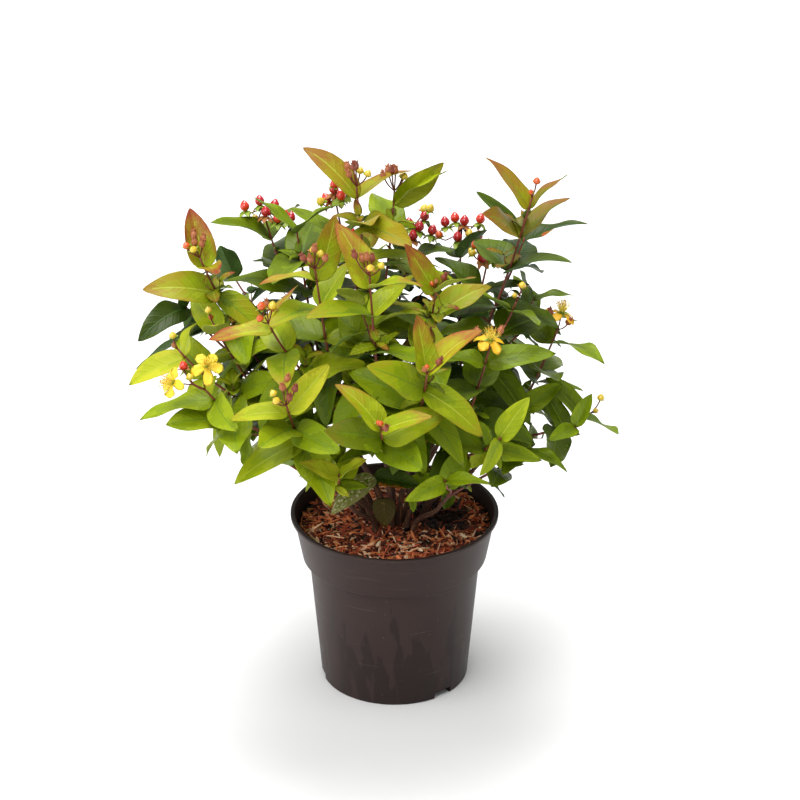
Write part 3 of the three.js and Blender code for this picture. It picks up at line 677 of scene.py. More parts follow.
# How a leaf may be shortened, pitched and turned to find a free place, and the radii that a shoot is
# tested with. Leaves with roots nearer than rootGap aren't tested against each other. A leaf may pass its
# mass's box by margin, and stays inside the whole box by boxMargin, all in mm
settling = {"shares": (1, 0.88, 0.76), "pitches": (0, 12, -12), "turns": (0, 14, -14, 28, -28, 42, -42),
            "rootGap": 3, "margin": 6, "boxMargin": 0.5, "footRadius": 1.2, "endRadius": 1}
trials = [(share, turn, pitch) for share in settling["shares"] for pitch in settling["pitches"]
          for turn in settling["turns"]]
kept = {"low": np.empty((0, 3)), "high": np.empty((0, 3)), "trees": [], "roots": np.empty((0, 3)),
        "limbOf": np.empty(0)}
wholeSpace = (np.array(cadBox[0]) / mm + settling["boxMargin"],
              np.array(cadBox[1]) / mm - settling["boxMargin"])


def remember(points, quads, root, limbOf=0):  # limbOf is the number of the shoot whose limb it is
    kept["low"] = np.vstack([kept["low"], points.min(axis=0)])
    kept["high"] = np.vstack([kept["high"], points.max(axis=0)])
    kept["roots"] = np.vstack([kept["roots"], root])
    kept["limbOf"] = np.append(kept["limbOf"], limbOf)
    kept["trees"].append(BVHTree.FromPolygons(points.tolist(), quads.tolist()))


# A leaf stays where it cuts neither a limb nor another leaf, if need be turned or shorter
def settle(plan, space):
    probe = leafGrids["probe"]
    quads = gridQuads(probe["rows"] + 1, len(probe["across"]))
    side = plan["along"].cross(plan["face"])
    limits = wholeSpace if plan.get("aimed") else space
    for share, turn, pitch in trials:
        spin = Quaternion(plan["face"], math.radians(turn)) @ Quaternion(side, math.radians(pitch))
        tried = {**plan, "along": spin @ plan["along"], "face": (spin @ plan["face"]).normalized(),
                 "length": plan["length"] * share, "width": plan["width"] * share}
        points = bladePoints(tried, probe["rows"], probe["across"]).reshape(-1, 3)
        low, high = points.min(axis=0), points.max(axis=0)
        if (low < limits[0]).any() or (high > limits[1]).any():
            continue
        if not plan.get("low") and points[-2][2] < lowest(math.hypot(points[-2][0], points[-2][1])):
            continue
        near = ((kept["low"] < high) & (kept["high"] > low)).all(axis=1)
        near &= np.linalg.norm(kept["roots"] - np.array(plan["root"]), axis=1) > settling["rootGap"]
        near &= kept["limbOf"] != plan["number"]
        tree = BVHTree.FromPolygons(points.tolist(), quads.tolist())
        if any(tree.overlap(kept["trees"][i]) for i in np.flatnonzero(near)):
            continue
        remember(points, quads, np.array(plan["root"]))
        return tried
    return None


# A limb along a curve, tapering from its foot to its end; relief(share, spins) lifts its skin
def tube(curve, sizes, sides, rows, look, relief=None):
    rings, spins = [], spinsOf(sides)
    for i in range(rows + 1):
        share = i / rows
        radius = mixed(sizes["footRadius"], sizes["endRadius"], share)
        radius = radius + (relief(share, spins) if relief else 0)
        rings.append(ringOf(*at(curve, share), radius, spins))
    points = np.concatenate(rings + [np.array([at(curve, 0)[0], at(curve, 1)[0]])])
    quads = gridQuads(rows + 1, sides, closed=True)
    ring = np.arange(sides)
    after = np.roll(ring, -1)
    last = rows * sides
    foot = np.stack([after, ring, np.full(sides, len(points) - 2)], axis=1)
    tip = np.stack([ring + last, after + last, np.full(sides, len(points) - 1)], axis=1)
    shares = np.repeat(np.arange(rows + 1) / rows, sides)
    maps = np.stack([np.tile(ring / sides, rows + 1), shares], axis=1)
    maps = np.concatenate([maps, [[0.5, 0], [0.5, 1]]])
    looks = look(np.repeat((np.arange(rows) + 0.5) / rows, sides)) if callable(look) else look
    ends = (looks[0], looks[-1]) if np.ndim(looks) else (looks, looks)
    return {"points": points, "faces": [(quads, looks), (foot, ends[0]), (tip, ends[1])], "map": maps}


# Young bark of the shoots, reddish and smooth, and the flaking brown bark of the old stems: dull, with
# lengthways ridges where it peels
barkTones = {"oldBark": ("4c2e1e", 0.85), "peeledBark": ("744a2c", 0.9), "redBark": ("5e2b1f", 0.6),
             "youngBark": ("7c3a28", 0.55)}
barkGrain = {"ridge": 0.7 * mm, "run": 6 * mm, "relief": 0.25 * mm, "strength": 0.8, "smoother": 0.12,
             "rougher": 0.08}


def growingBark(tree, shader, roughness):
    where = addNode(tree, "TexCoord", {}).outputs["Object"]
    scale = (1 / barkGrain["ridge"], 1 / barkGrain["ridge"], 1 / barkGrain["run"])
    stretched = addNode(tree, "Mapping", {"Vector": where, "Scale": scale})
    ridges = addNode(tree, "TexNoise", {"Vector": stretched, "Scale": 1, "Detail": 4})
    addRelief(tree, shader, ridges, ridges, roughness, barkGrain)


barkSurfaces, barkTone = surfacesOf("bark_", barkTones, growingBark, 1.5)

print("growing the skeleton")
grown, number = [], 0
for (name, shoots), foot in zip(masses.items(), feetOf(masses.values())):
    stemCurve, stalkCurve, curves = skeletonOf(shoots, foot)
    one = {"name": name, "stem": stemCurve, "stalk": stalkCurve, "limbs": [], "leaves": [], "fine": [],
           "kept": [], "heads": []}
    for curve, (_, _, _, head, turn, scale, tint) in zip(curves, shoots):
        number += 1
        limbs, leaves, fine = growShoot(curve, number, head, turn, scale, tint)
        one["limbs"] += limbs
        one["leaves"] += leaves
        one["fine"] += fine
        one["heads"].append((curve, number, head, tint))
    grown.append(one)

print("settling the leaves")
for one in grown:
    for curve, sizes in ((one["stem"], stem), (one["stalk"], stalk)):
        made = tube(curve, sizes, 4, 8, 0)
        remember(made["points"], made["faces"][0][0], np.array(at(curve, 0.5)[0]), -1)
    for curve, _, kind, number in one["limbs"]:
        if kind == "shoot":
            for quarter in range(4):
                part = curveThrough(np.array([at(curve, (quarter + k / 4) / 4)[0] for k in range(5)]))
                made = tube(part, settling, 4, 4, 0)
                remember(made["points"], made["faces"][0][0], np.array(at(part, 0.5)[0]), number)


# A leaf from its root to a tip, with its upper face out and up
def leafTo(root, tip, width, tint, number, half):
    offset = tip - root
    outward = Vector((root.x, root.y, 0)).normalized()
    face = up + outward * lowTwig["facing"]
    face = (face - offset * face.dot(offset) / offset.length_squared).normalized()
    along = (offset.normalized() + face * (leaf["droop"] - leaf["rise"])).normalized()
    return {"root": root, "along": along, "face": squareTo(along, face), "length": offset.length,
            "width": width, "age": 1, "number": number, "place": lowTwig["place"], "half": half,
            "tint": tint, "grade": 0, "aimed": True, "low": True}


def nearestStem(end):  # the stem, and the point on it, that a low twig grows from
    found = None
    for one in grown:
        for share in np.linspace(lowTwig["stemFrom"], 1, lowTwig["tries"]):
            point, _ = at(one["stem"], share)
            climb = max(0, point.z - end.z + lowTwig["under"])
            away = (point - end).length + climb * lowTwig["steep"]
            if found is None or away < found[0]:
                found = away, one, point
    return found[1:]


def hiddenTwig(i):
    place = unseen["place"]
    share = (i + unseen["stagger"] * draw(i, place, "bearing")) / (unseen["count"] - 1)
    outward, aside = acrossAt(math.radians(mixed(unseen["from"], unseen["to"], share)))
    end = outward * mixed(*unseen["radius"], draw(i, place, "radius"))
    end += up * mixed(*unseen["height"], draw(i, place, "height"))
    borne = []
    for half in (-1, 1):
        size = mixed(*unseen["length"], draw(i, place, "reach", half))
        apart = aside * half * mixed(*unseen["aside"], draw(i, place, "aside", half))
        way = (outward * unseen["outward"] + apart - up * unseen["sag"]).normalized()
        tint = unseen["tints"][(i + half) % len(unseen["tints"])]
        borne.append((end + way * size, size * unseen["widthShare"], tint))
    return end, borne


allLowTwigs = lowTwigs + [hiddenTwig(i) for i in range(unseen["count"])]
for number, (end, borne) in enumerate(allLowTwigs, lowTwig["number"]):
    end = Vector(end)
    owner, root = nearestStem(end)
    held = [settle(leafTo(end, Vector(tip), width, tint, number, half), wholeSpace)
            for half, (tip, width, tint) in enumerate(borne)]
    held = [one for one in held if one]
    if held:
        owner["kept"] += held
        way = (end - root).normalized()
        line = bentLine(root, (way + up * lowTwig["upturn"]).normalized(), end + way * lowTwig["stalk"],
                        way, 12)
        owner["limbs"].append((line, lowTwig, "twig", number))
print("low twigs", len(allLowTwigs))
for key in ("leaves", "fine"):
    for i in range(max(len(one[key]) for one in grown)):
        for one in grown:
            if i >= len(one[key]):
                continue
            corners = np.array(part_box("foliage_" + one["name"])) / mm
            space = (np.maximum(corners[0] - settling["margin"], wholeSpace[0]),
                     np.minimum(corners[1] + settling["margin"], wholeSpace[1]))
            settled = settle(one[key][i], space)
            if settled:
                one["kept"].append(settled)
print("leaves kept", sum(len(one["kept"]) for one in grown),
      "of", sum(len(one["leaves"]) + len(one["fine"]) for one in grown))

print("making the leaves")
for one in grown:
    chunks = [leafChunk(plan, gridOf(plan), leafLooks) for plan in one["kept"]]
    joinedPiece("leaves_" + one["name"], chunks, leafSurfaces, ["foliage_" + one["name"]])

print("making the stems and twigs")
barkRelief = {"height": 0.3, "grain": 1.6, "runs": 5, "knot": 0.35, "knots": 2.6, "knotStep": 0.37,
              "knotSharp": 400, "footRuns": 9, "peelAbove": 0.32, "youngFrom": 0.55, "oldTo": 0.12}


def barkLift(number):
    def lift(share, spins):
        grain = barkRelief["grain"]
        run = share * barkRelief["runs"] + number * 9.1
        ridge = np.array([noise.noise(Vector((math.cos(spin) * grain, math.sin(spin) * grain, run)))
                          for spin in spins])
        off = (share * barkRelief["knots"] + number * barkRelief["knotStep"]) % 1 - 0.5
        knot = math.exp(-off ** 2 * barkRelief["knotSharp"])
        flare = stem["footRadius"] * stem["flare"] * max(0, 1 - share * barkRelief["footRuns"])
        return barkRelief["height"] * ridge * 2 + barkRelief["knot"] * knot + flare
    return lift


def oldBarkLooks(number):
    def looks(shares):
        column = np.arange(len(shares)) % stem["sides"]
        peel = [noise.noise(Vector((c * 0.9, s * 7, number * 3.3))) for c, s in zip(column, shares)]
        peeled = np.array(peel) > barkRelief["peelAbove"]
        return np.where(peeled, barkTone["peeledBark"], barkTone["oldBark"])
    return looks


def shootLooks(shares):
    looks = np.where(shares > barkRelief["youngFrom"], barkTone["youngBark"], barkTone["redBark"])
    return np.where(shares < barkRelief["oldTo"], barkTone["oldBark"], looks)


limbGrid = {"shootSides": 9, "twigSides": 6, "rowLength": 7, "fewestRows": 3}
stems, twigs = [], []
for i, one in enumerate(grown):
    stems.append(tube(one["stem"], stem, stem["sides"], stem["rows"], oldBarkLooks(i), barkLift(i)))
    twigs.append(tube(one["stalk"], stalk, stalk["sides"], stalk["rows"], barkTone["oldBark"]))
    for curve, sizes, kind, _ in one["limbs"]:
        rows = max(limbGrid["fewestRows"], int(curve["lengths"][-1] / limbGrid["rowLength"]))
        sides, look = limbGrid["twigSides"], barkTone["youngBark"]
        if kind == "shoot":
            sides, look = limbGrid["shootSides"], shootLooks
        twigs.append(tube(curve, sizes, sides, rows, look))
joinedPiece("stems", stems, barkSurfaces, ["stem_" + one["name"] for one in grown])
joinedPiece("twigs", twigs, barkSurfaces, [])

# Ripe and unripe berries: taut waxy skin with small sharp highlights; buds with dull brown sepals;
# petals thin and silky; stamens fine and yellow
bloomTones = {
    "ripeSkin": ("ae121b", 0.14), "scarletSkin": ("cd2f16", 0.14), "orangeSkin": ("cc5418", 0.18),
    "yellowSkin": ("d9b934", 0.2), "budSepal": ("a2603a", 0.5), "duskySepal": ("85432f", 0.5),
    "greenSepal": ("859a2c", 0.5), "rustSepal": ("a56a32", 0.55), "stalkRed": ("6f2c20", 0.5),
    "petalGold": ("e6b41c", 0.5), "petalYellow": ("ecd034", 0.5), "stamenYellow": ("f4df5c", 0.5),
    "antherGold": ("c9921c", 0.7),
}
bloomGrain = {"cell": 1.1 * mm, "relief": 0.08 * mm, "strength": 0.3, "smoother": 0.04, "rougher": 0.08,
              "waxyTo": 0.3, "waxyLevel": 0.9}


def bloomSkin(tree, shader, roughness):
    if roughness < bloomGrain["waxyTo"]:
        feed(shader, {"Specular IOR Level": bloomGrain["waxyLevel"]})
    where = addNode(tree, "TexCoord", {}).outputs["Object"]
    dimples = addNode(tree, "TexNoise", {"Vector": where, "Scale": 1 / bloomGrain["cell"], "Detail": 2})
    addRelief(tree, shader, dimples, dimples, roughness, bloomGrain)


bloomSurfaces, bloomTone = surfacesOf("bloom_", bloomTones, bloomSkin, 1.46)

# The sizes of berries, buds and flowers in mm, and what each kind of head bears
fruit = {
    "berry": {"radius": 4.4, "length": 11.4, "sepal": 9.8, "open": 118},
    "young": {"radius": 3.8, "length": 9.4, "sepal": 6.4, "open": 74},
    "bud": {"radius": 2.9, "length": 9.2, "sepal": 0, "open": 0},
    "ball": {"radius": 3.3, "length": 7.4, "sepal": 5.6, "open": 60},
    "pip": {"radius": 2.4, "length": 6, "sepal": 4.4, "open": 44},
    "stalk": {"footRadius": 0.56, "endRadius": 0.7}, "stalkLength": 13, "stalkSpread": [0.8, 1.2],
    "pipStalk": 4, "farther": 1.6, "upright": 1.5, "spread": [38, 66], "ripeSpread": [52, 98], "first": 8,
    "turn": 2.6, "lobes": 0.12, "greenSepals": 0.65, "sepalWidth": 0.62, "fartherFrom": 5, "sink": 0.6,
    "out": 0.8, "rise": 0.3,
}
flower = {"petal": 15.5, "petalWidth": 9.4, "sepal": 6, "sepalWidth": 3.8, "sepalOpen": 72, "upright": 0.7,
          "open": 98, "aimedOpen": 80, "stalk": {"footRadius": 0.6, "endRadius": 0.7}, "styleRadius": 1.9,
          "styleLength": 4.6, "stamens": 60, "stamenTurn": 2.4, "stamenOpen": [6, 48],
          "stamenLength": [8.5, 13], "stamen": {"footRadius": 0.24, "endRadius": 0.18}}
bears = {
    "berries": ["berry", "berry", "berry", "berry", "berry", "young", "berry", "young"],
    "young": ["young", "young", "ball", "bud"],
    "buds": ["bud", "bud", "ball", "bud", "ball", "bud"],
    "single": ["ball", "pip"],
    "pip": ["pip", "bud", "pip"],
    "flower": ["flower", "bud", "bud"],
    "flowers": ["flower", "flower", "ball", "young"],
    "none": [],
}
# What stands out in the photograph, by shoot and place in its head: where it is from the head and where
# it faces, as the camera sees them. Shoot 10 bears the flowers at the left and their fruit, 16 the buds
# beside the front flower, 22 the ripe berries at the back left, and 25 and 27 those at the back right
borneAims = {
    (10, 0): [(2, 20, 6), (0.1, 0.35, 1)], (10, 1): [(-27, 6, 8), (-0.85, 0.2, 0.6)],
    (22, 0): [(-2, 2, 0), (-0.1, 1, 0)], (22, 1): [(3, -8, 5), (0.05, 1, 0.2)],
    (22, 2): [(14, -14, 6), (0.1, 1, 0.2)], (22, 3): [(-15, -3, 3), (-0.2, 1, 0.1)],
    (22, 4): [(25, -13, 2), (0.2, 1, 0.1)], (22, 5): [(-6, -13, -6), (-0.2, 1, -0.2)],
    (22, 6): [(10, -1, -6), (0.2, 1, -0.1)], (22, 7): [(19, -9, -5), (0.3, 1, -0.1)],
    (25, 0): [(11, 5, 0), (0.1, 1, 0)], (25, 1): [(-2, -2, 5), (-0.1, 1, 0.1)],
    (25, 2): [(6, -5, 8), (0.15, 1, 0.2)], (25, 3): [(1, -13, 8), (0, 1, 0.3)],
    (25, 4): [(-10, 3, -3), (-0.2, 1, 0)], (25, 6): [(17, -8, 3), (0.3, 1, 0.1)],
    (27, 0): [(-15, -2, 4), (-0.15, 1, 0.1)], (27, 1): [(-6, 2, 0), (-0.1, 1, 0)],
    (27, 2): [(2, -1, 4), (0.05, 1, 0.1)], (27, 3): [(16, 1, 0), (0.2, 1, 0)],
    (27, 4): [(-4, -16, 9), (-0.05, 1, 0.3)], (27, 5): [(6, -12, 7), (0.1, 1, 0.2)],
    (27, 6): [(14, -15, 5), (0.15, 1, 0.2)], (27, 7): [(-20, -13, 4), (-0.3, 1, 0.1)],
    (16, 1): [(9, 14, -9), (0.4, 1, -0.3)], (16, 2): [(-8, 13, -9), (-0.4, 1, -0.3)],
    (10, 2): [(-12, 8, 9), (-0.3, 1, 0.2)], (10, 3): [(-18, 17, 2), (-0.2, 1, 0.3)],
}
# The skins of each kind by the shoot's tint, or for any other tint
skins = {
    "berry": {"dark": ["ripeSkin", "ripeSkin", "ripeSkin", "scarletSkin"], "": ["scarletSkin", "ripeSkin"]},
    "young": {"": ["orangeSkin", "yellowSkin", "scarletSkin"]},
    "bud": {"": ["budSepal", "duskySepal", "budSepal"]},
    "ball": {"green": ["yellowSkin"], "": ["yellowSkin", "orangeSkin", "yellowSkin"]},
    "pip": {"green": ["yellowSkin"], "": ["orangeSkin", "budSepal"]},
}


# A body of revolution about a heading, from a profile of radii and heights; lobes gather its skin
def turnedBody(foot, heading, profile, look, sides=12, lobes=0):
    spins = spinsOf(sides)
    rings = [ringOf(foot + heading * height, heading, radius * (1 + lobes * np.cos(spins * 5)), spins)
             for radius, height in profile]
    quads = gridQuads(len(profile), sides, closed=True)
    rises = np.repeat(np.linspace(0, 1, len(profile)), sides)
    maps = np.stack([np.tile(spins, len(profile)), rises], axis=1)
    return {"points": np.concatenate(rings), "faces": [(quads, look)], "map": maps}


def ovoid(radius, length, start):  # the profile of a berry or a bud, with a short point at its tip
    profile = []
    for t in (i / 9 for i in range(10)):
        swell = math.sin(math.pi * t ** 0.8) ** 0.75 if 0 < t < 1 else 0
        profile.append((max(radius * swell, 0.05), start + length * t))
    return profile + [(0.22, start + length * 1.05), (0.02, start + length * 1.0875)]


sepalOutline = [0.22, 0.3, 0.38, 0.45, 0.5, 0.5, 0.45, 0.38, 0.28, 0.17, 0.09, 0.02]
petalOutline = [0.1, 0.13, 0.17, 0.23, 0.31, 0.41, 0.49, 0.52, 0.5, 0.42, 0.3, 0.14]
whorled = {"count": 5, "lengths": [0.85, 1.1], "thickness": 0.25, "place": 500}


# Five sepals or petals round a heading
def whorl(root, heading, angle, length, width, look, halves, key):
    def plainLook(plan, rows, across):
        return np.full((rows, len(across) - 1), look), look
    made = []
    for i in range(whorled["count"]):
        along = opened(heading, i * 2 * math.pi / whorled["count"] + key, math.radians(angle))
        size = length * mixed(*whorled["lengths"], draw(key, i, "petal"))
        plan = {"root": root, "along": along, "face": squareTo(along, heading), "length": size,
                "width": width, "number": key + i, "place": whorled["place"], "half": 0,
                "halves": halves, "thickness": whorled["thickness"]}
        made.append(leafChunk(plan, "small", plainLook))
    return made


def fruitOnStalk(foot, heading, end, upright, kind, skin, key):
    size, length = fruit[kind], fruit[kind]["length"]
    line = bentLine(foot, heading, end + upright * 0.6, upright, 12)
    made = [tube(line, fruit["stalk"], 6, 5, bloomTone["stalkRed"])]
    made.append(turnedBody(end, upright, ovoid(size["radius"], length * 0.94, 0), bloomTone[skin],
                           14 if kind == "berry" else 15, fruit["lobes"] if kind == "bud" else 0))
    if kind == "bud":  # the closed sepals part at the tip
        made += whorl(end + upright * (length * 0.35), upright, 15, length * 0.72, 3.2, bloomTone[skin],
                      sepalOutline, key)
    if size["sepal"]:
        sepal = "greenSepal" if draw(key, 1, "sepal") < fruit["greenSepals"] else "rustSepal"
        made += whorl(end + upright * 0.4, upright, size["open"], size["sepal"],
                      size["sepal"] * fruit["sepalWidth"], bloomTone[sepal], sepalOutline, key)
    return made


def flowerOnStalk(foot, along, root, heading, petal, opening, key):
    line = bentLine(foot, along, root, heading, 12)
    made = [tube(line, flower["stalk"], 6, 3, bloomTone["stalkRed"])]
    made += whorl(root, heading, opening, flower["petal"], flower["petalWidth"], bloomTone[petal],
                  petalOutline, key)
    made += whorl(root - heading * 0.6, heading, flower["sepalOpen"], flower["sepal"], flower["sepalWidth"],
                  bloomTone["greenSepal"], sepalOutline, key + 0.6)
    style = ovoid(flower["styleRadius"], flower["styleLength"], -0.4)
    made.append(turnedBody(root, heading, style, bloomTone["greenSepal"]))
    for i in range(flower["stamens"]):
        angle = mixed(*flower["stamenOpen"], draw(key, i, "stamenOpen"))
        along = opened(heading, i * flower["stamenTurn"], math.radians(angle))
        end = root + along * mixed(*flower["stamenLength"], draw(key, i, "stamenLength"))
        bent = bentLine(root + along * 0.8, along, end, (along + heading).normalized(), 6)
        made.append(tube(bent, flower["stamen"], 3, 3, bloomTone["stamenYellow"]))
        anther = [(0.02, -0.4), (0.45, 0), (0.4, 0.35), (0.02, 0.8)]
        made.append(turnedBody(end, along, anther, bloomTone["antherGold"], 5))
    return made


print("making the fruit and flowers")
heads = [head for one in grown for head in one["heads"]]
borneBy = {"berries": [], "buds": [], "flowers": []}
for curve, number, head, tint in heads:
    end, along = at(curve, 1)
    for i, kind in enumerate(bears[head]):
        bearing = i * fruit["turn"] + draw(number, 0, "headTurn") * 6
        spread = fruit["ripeSpread" if head == "berries" else "spread"]
        angle = fruit["first"] if i == 0 else mixed(*spread, draw(number, i, "fruitOpen"))
        heading = opened(along, bearing, math.radians(angle))
        reach = fruit["stalkLength"] * mixed(*fruit["stalkSpread"], draw(number, i, "fruitReach"))
        farther = fruit["farther"] if i >= fruit["fartherFrom"] else 1
        reach = fruit["pipStalk"] if kind == "pip" else reach * farther
        foot = end - heading * fruit["sink"]
        tip = foot + heading * (reach * fruit["out"]) + up * (reach * fruit["rise"])
        upright = (heading + up * (flower if kind == "flower" else fruit)["upright"]).normalized()
        placed = borneAims.get((number, i))
        if placed:
            tip, upright = end + fromView(*placed[0]), fromView(*placed[1]).normalized()
        if kind == "flower":
            petal, opening = ("petalYellow", "aimedOpen") if placed else ("petalGold", "open")
            borneBy["flowers"] += flowerOnStalk(foot, heading, tip, upright, petal, flower[opening],
                                                number * 10 + i)
            continue
        choice = skins[kind].get(tint, skins[kind][""])
        skin = choice[int(draw(number, i, "skin") * len(choice))]
        made = fruitOnStalk(foot, heading, tip, upright, kind, skin, number * 10 + i)
        borneBy["berries" if kind in ("berry", "young") else "buds"] += made
for name, chunks in borneBy.items():
    joinedPiece(name, chunks, bloomSurfaces, [])

# The pot's turned profile and the drain slots at its foot
pot = {"height": 167, "rimRadius": 95, "rimDepth": 3.4, "collarTopRadius": 92, "collarFootRadius": 84.2,
       "collarHeight": 44, "bodyTopRadius": 78.5, "footRadius": 67.5, "wall": 1.8, "floor": 2.4, "lip": 0.7,
       "sides": 128, "axis": 0.02, "sharpFrom": 40}
drain = {"count": 3, "bearing": -49, "width": 19, "height": 6.5, "depth": 9}

# Injection-moulded polypropylene, a dull brown-grey: a broad soft sheen, faint mould texture, dark
# water marks that lick up the lower wall, pale level scuffs and specks of dust. Sizes in metres
moulding = {"lick": 0.012, "lickRise": 0.055, "scratch": 0.06, "scratchRise": 0.0012, "dust": 0.009,
            "cloud": 0.05, "grain": 0.0015, "roughness": 0.46, "relief": 0.1 * mm, "strength": 0.3,
            "smoother": -0.01, "rougher": -0.1}  # both are below nought: the water marks are smoother


def mouldedPolypropylene():
    roughness = moulding["roughness"]
    material, tree, shader = newSurface("mouldedPolypropylene", "2c1f1d", roughness, 1.49, 0.2)
    where = addNode(tree, "TexCoord", {}).outputs["Object"]
    parts = addNode(tree, "SeparateXYZ", {"Vector": where})
    scale = (1 / moulding["lick"], 1 / moulding["lick"], 1 / moulding["lickRise"])
    licks = addNode(tree, "Mapping", {"Vector": where, "Scale": scale})
    flame = addNode(tree, "TexNoise", {"Vector": licks, "Scale": 1, "Detail": 2.5})
    low = addNode(tree, "MapRange", {"Value": parts.outputs["Z"], "From Min": 0.02, "From Max": 0.115,
                                     "To Min": 0.13, "To Max": -0.16})
    front = addNode(tree, "MapRange", {"Value": parts.outputs["Y"], "From Min": -0.08, "From Max": 0.02,
                                       "To Min": 0.03, "To Max": -0.08})
    rising = addNode(tree, "Math", {0: flame, 1: low}, operation="ADD")
    placed = addNode(tree, "Math", {0: rising, 1: front}, operation="ADD")
    stain = addNode(tree, "MapRange", {"Value": placed, "From Min": 0.53, "From Max": 0.6, "To Max": 0.7},
                    interpolation_type="SMOOTHSTEP")
    scale = (1 / moulding["scratch"], 1 / moulding["scratch"], 1 / moulding["scratchRise"])
    level = addNode(tree, "Mapping", {"Vector": where, "Scale": scale})
    lines = addNode(tree, "TexNoise", {"Vector": level, "Scale": 1, "Detail": 3})
    scuff = addNode(tree, "MapRange", {"Value": lines, "From Min": 0.66, "From Max": 0.73, "To Max": 0.5})
    dust = addNode(tree, "TexVoronoi", {"Vector": where, "Scale": 1 / moulding["dust"]})
    speck = addNode(tree, "MapRange", {"Value": dust, "From Min": 0.03, "From Max": 0.06, "To Min": 0.4,
                                       "To Max": 0})
    cloud = addNode(tree, "TexNoise", {"Vector": where, "Scale": 1 / moulding["cloud"], "Detail": 3})
    colour = addNode(tree, "Mix", {"Factor": cloud, 6: linear("2d201e"), 7: linear("382a27")},
                     data_type="RGBA")
    for marks, hexColour in ((stain, "211716"), (scuff, "5b504d"), (speck, "857a73")):
        colour = addNode(tree, "Mix", {"Factor": marks, 6: colour.outputs[2], 7: linear(hexColour)},
                         data_type="RGBA")
    feed(shader, {"Base Color": colour.outputs[2]})
    grain = addNode(tree, "TexNoise", {"Vector": where, "Scale": 1 / moulding["grain"], "Detail": 3})
    addRelief(tree, shader, grain, stain, roughness, moulding)
    return material


def roundedCorner(before, corner, after, radius, steps=4):  # a corner of a profile, eased by an arc
    a, b, c = (np.array(point, float) for point in (before, corner, after))
    near, far = a - b, c - b
    near, far = near / np.linalg.norm(near), far / np.linalg.norm(far)
    start, end = b + near * radius, b + far * radius
    t = np.linspace(0, 1, steps + 1)[:, None]
    return ((1 - t) ** 2 * start + 2 * t * (1 - t) * b + t * t * end).tolist()


def cutDrain(piece, bearing):
    outward, aside = acrossAt(bearing)
    corners = [outward * (pot["footRadius"] + a * drain["depth"]) + aside * (b * drain["width"] / 2)
               + up * (c * drain["height"]) for a in (-1, 1) for b in (-1, 1) for c in (-1, 1)]
    faces = [(0, 1, 3, 2), (4, 6, 7, 5), (0, 4, 5, 1), (2, 3, 7, 6), (0, 2, 6, 4), (1, 5, 7, 3)]
    mesh = bpy.data.meshes.new("drain")
    mesh.from_pydata([corner * mm for corner in corners], [], faces)
    cutter = newObject("drain", mesh)
    cut = piece.modifiers.new("drain", "BOOLEAN")
    cut.object = cutter
    cut.operation = "DIFFERENCE"
    cut.solver = "EXACT"
    bpy.context.view_layer.objects.active = piece
    bpy.ops.object.modifier_apply(modifier=cut.name)
    bpy.data.objects.remove(cutter)


def makePot():
    top, ledge, wall, axis = pot["height"], pot["height"] - pot["collarHeight"], pot["wall"], pot["axis"]
    under = top - pot["rimDepth"]
    # Each corner's radius and height, and how far it is rounded
    corners = [(axis, 0, 0), (pot["footRadius"], 0, 1.6), (pot["bodyTopRadius"], ledge, 0.6),
               (pot["collarFootRadius"], ledge, 1.2), (pot["collarTopRadius"], under, 0.5),
               (pot["rimRadius"], under, 0.8), (pot["rimRadius"], top, 0.9),
               (pot["collarTopRadius"] - pot["lip"], top, 0.8), (pot["collarTopRadius"] - wall, under, 0.8),
               (pot["collarFootRadius"] - wall, ledge + wall, 0.6),
               (pot["bodyTopRadius"] - wall, ledge + wall, 0.5), (pot["footRadius"] - wall, pot["floor"], 1),
               (axis, pot["floor"], 0)]
    profile = [corners[0][:2]]
    for before, corner, after in zip(corners, corners[1:], corners[2:]):
        profile += roundedCorner(before[:2], corner[:2], after[:2], corner[2])
    chunk = turnedBody(Vector(), up, profile + [corners[-1][:2]], 0, pot["sides"])
    chunk["faces"] = [(chunk["faces"][0][0][:, ::-1], 0)]
    piece = joinedPiece("moulded_pot", [chunk], [mouldedPolypropylene()], ["pot"])
    for i in range(drain["count"]):
        cutDrain(piece, math.radians(drain["bearing"] + i * 360 / drain["count"]))
    piece.data.set_sharp_from_angle(angle=math.radians(pot["sharpFrom"]))


print("making the pot")
makePot()

# Shredded pine bark: red-brown chips with a dull fibrous break and some pale wood. In the dip right of the
# middle the chips are darker, partly as dark soil and partly as painted shadow of the crown
chipTones = {"rustChip": ("e38550", 0.9), "redChip": ("c95c38", 0.9), "darkChip": ("76321d", 0.85),
             "tanChip": ("ffcba2", 0.9), "paleChip": ("ffe3c4", 0.9), "blackChip": ("2a140c", 0.8),
             "greyScrap": ("a5a48d", 0.8)}
chipGrain = {"fibres": (14, 1.5, 1), "relief": 0.5 * mm, "strength": 0.9, "smoother": 0.15, "rougher": 0.08}


def shreddedBark(tree, shader, roughness):
    place = addNode(tree, "UVMap", {}, uv_map="growthMap")
    fibres = addNode(tree, "Mapping", {"Vector": place, "Scale": chipGrain["fibres"]})
    grain = addNode(tree, "TexNoise", {"Vector": fibres, "Scale": 1, "Detail": 4})
    addRelief(tree, shader, grain, grain, roughness, chipGrain)


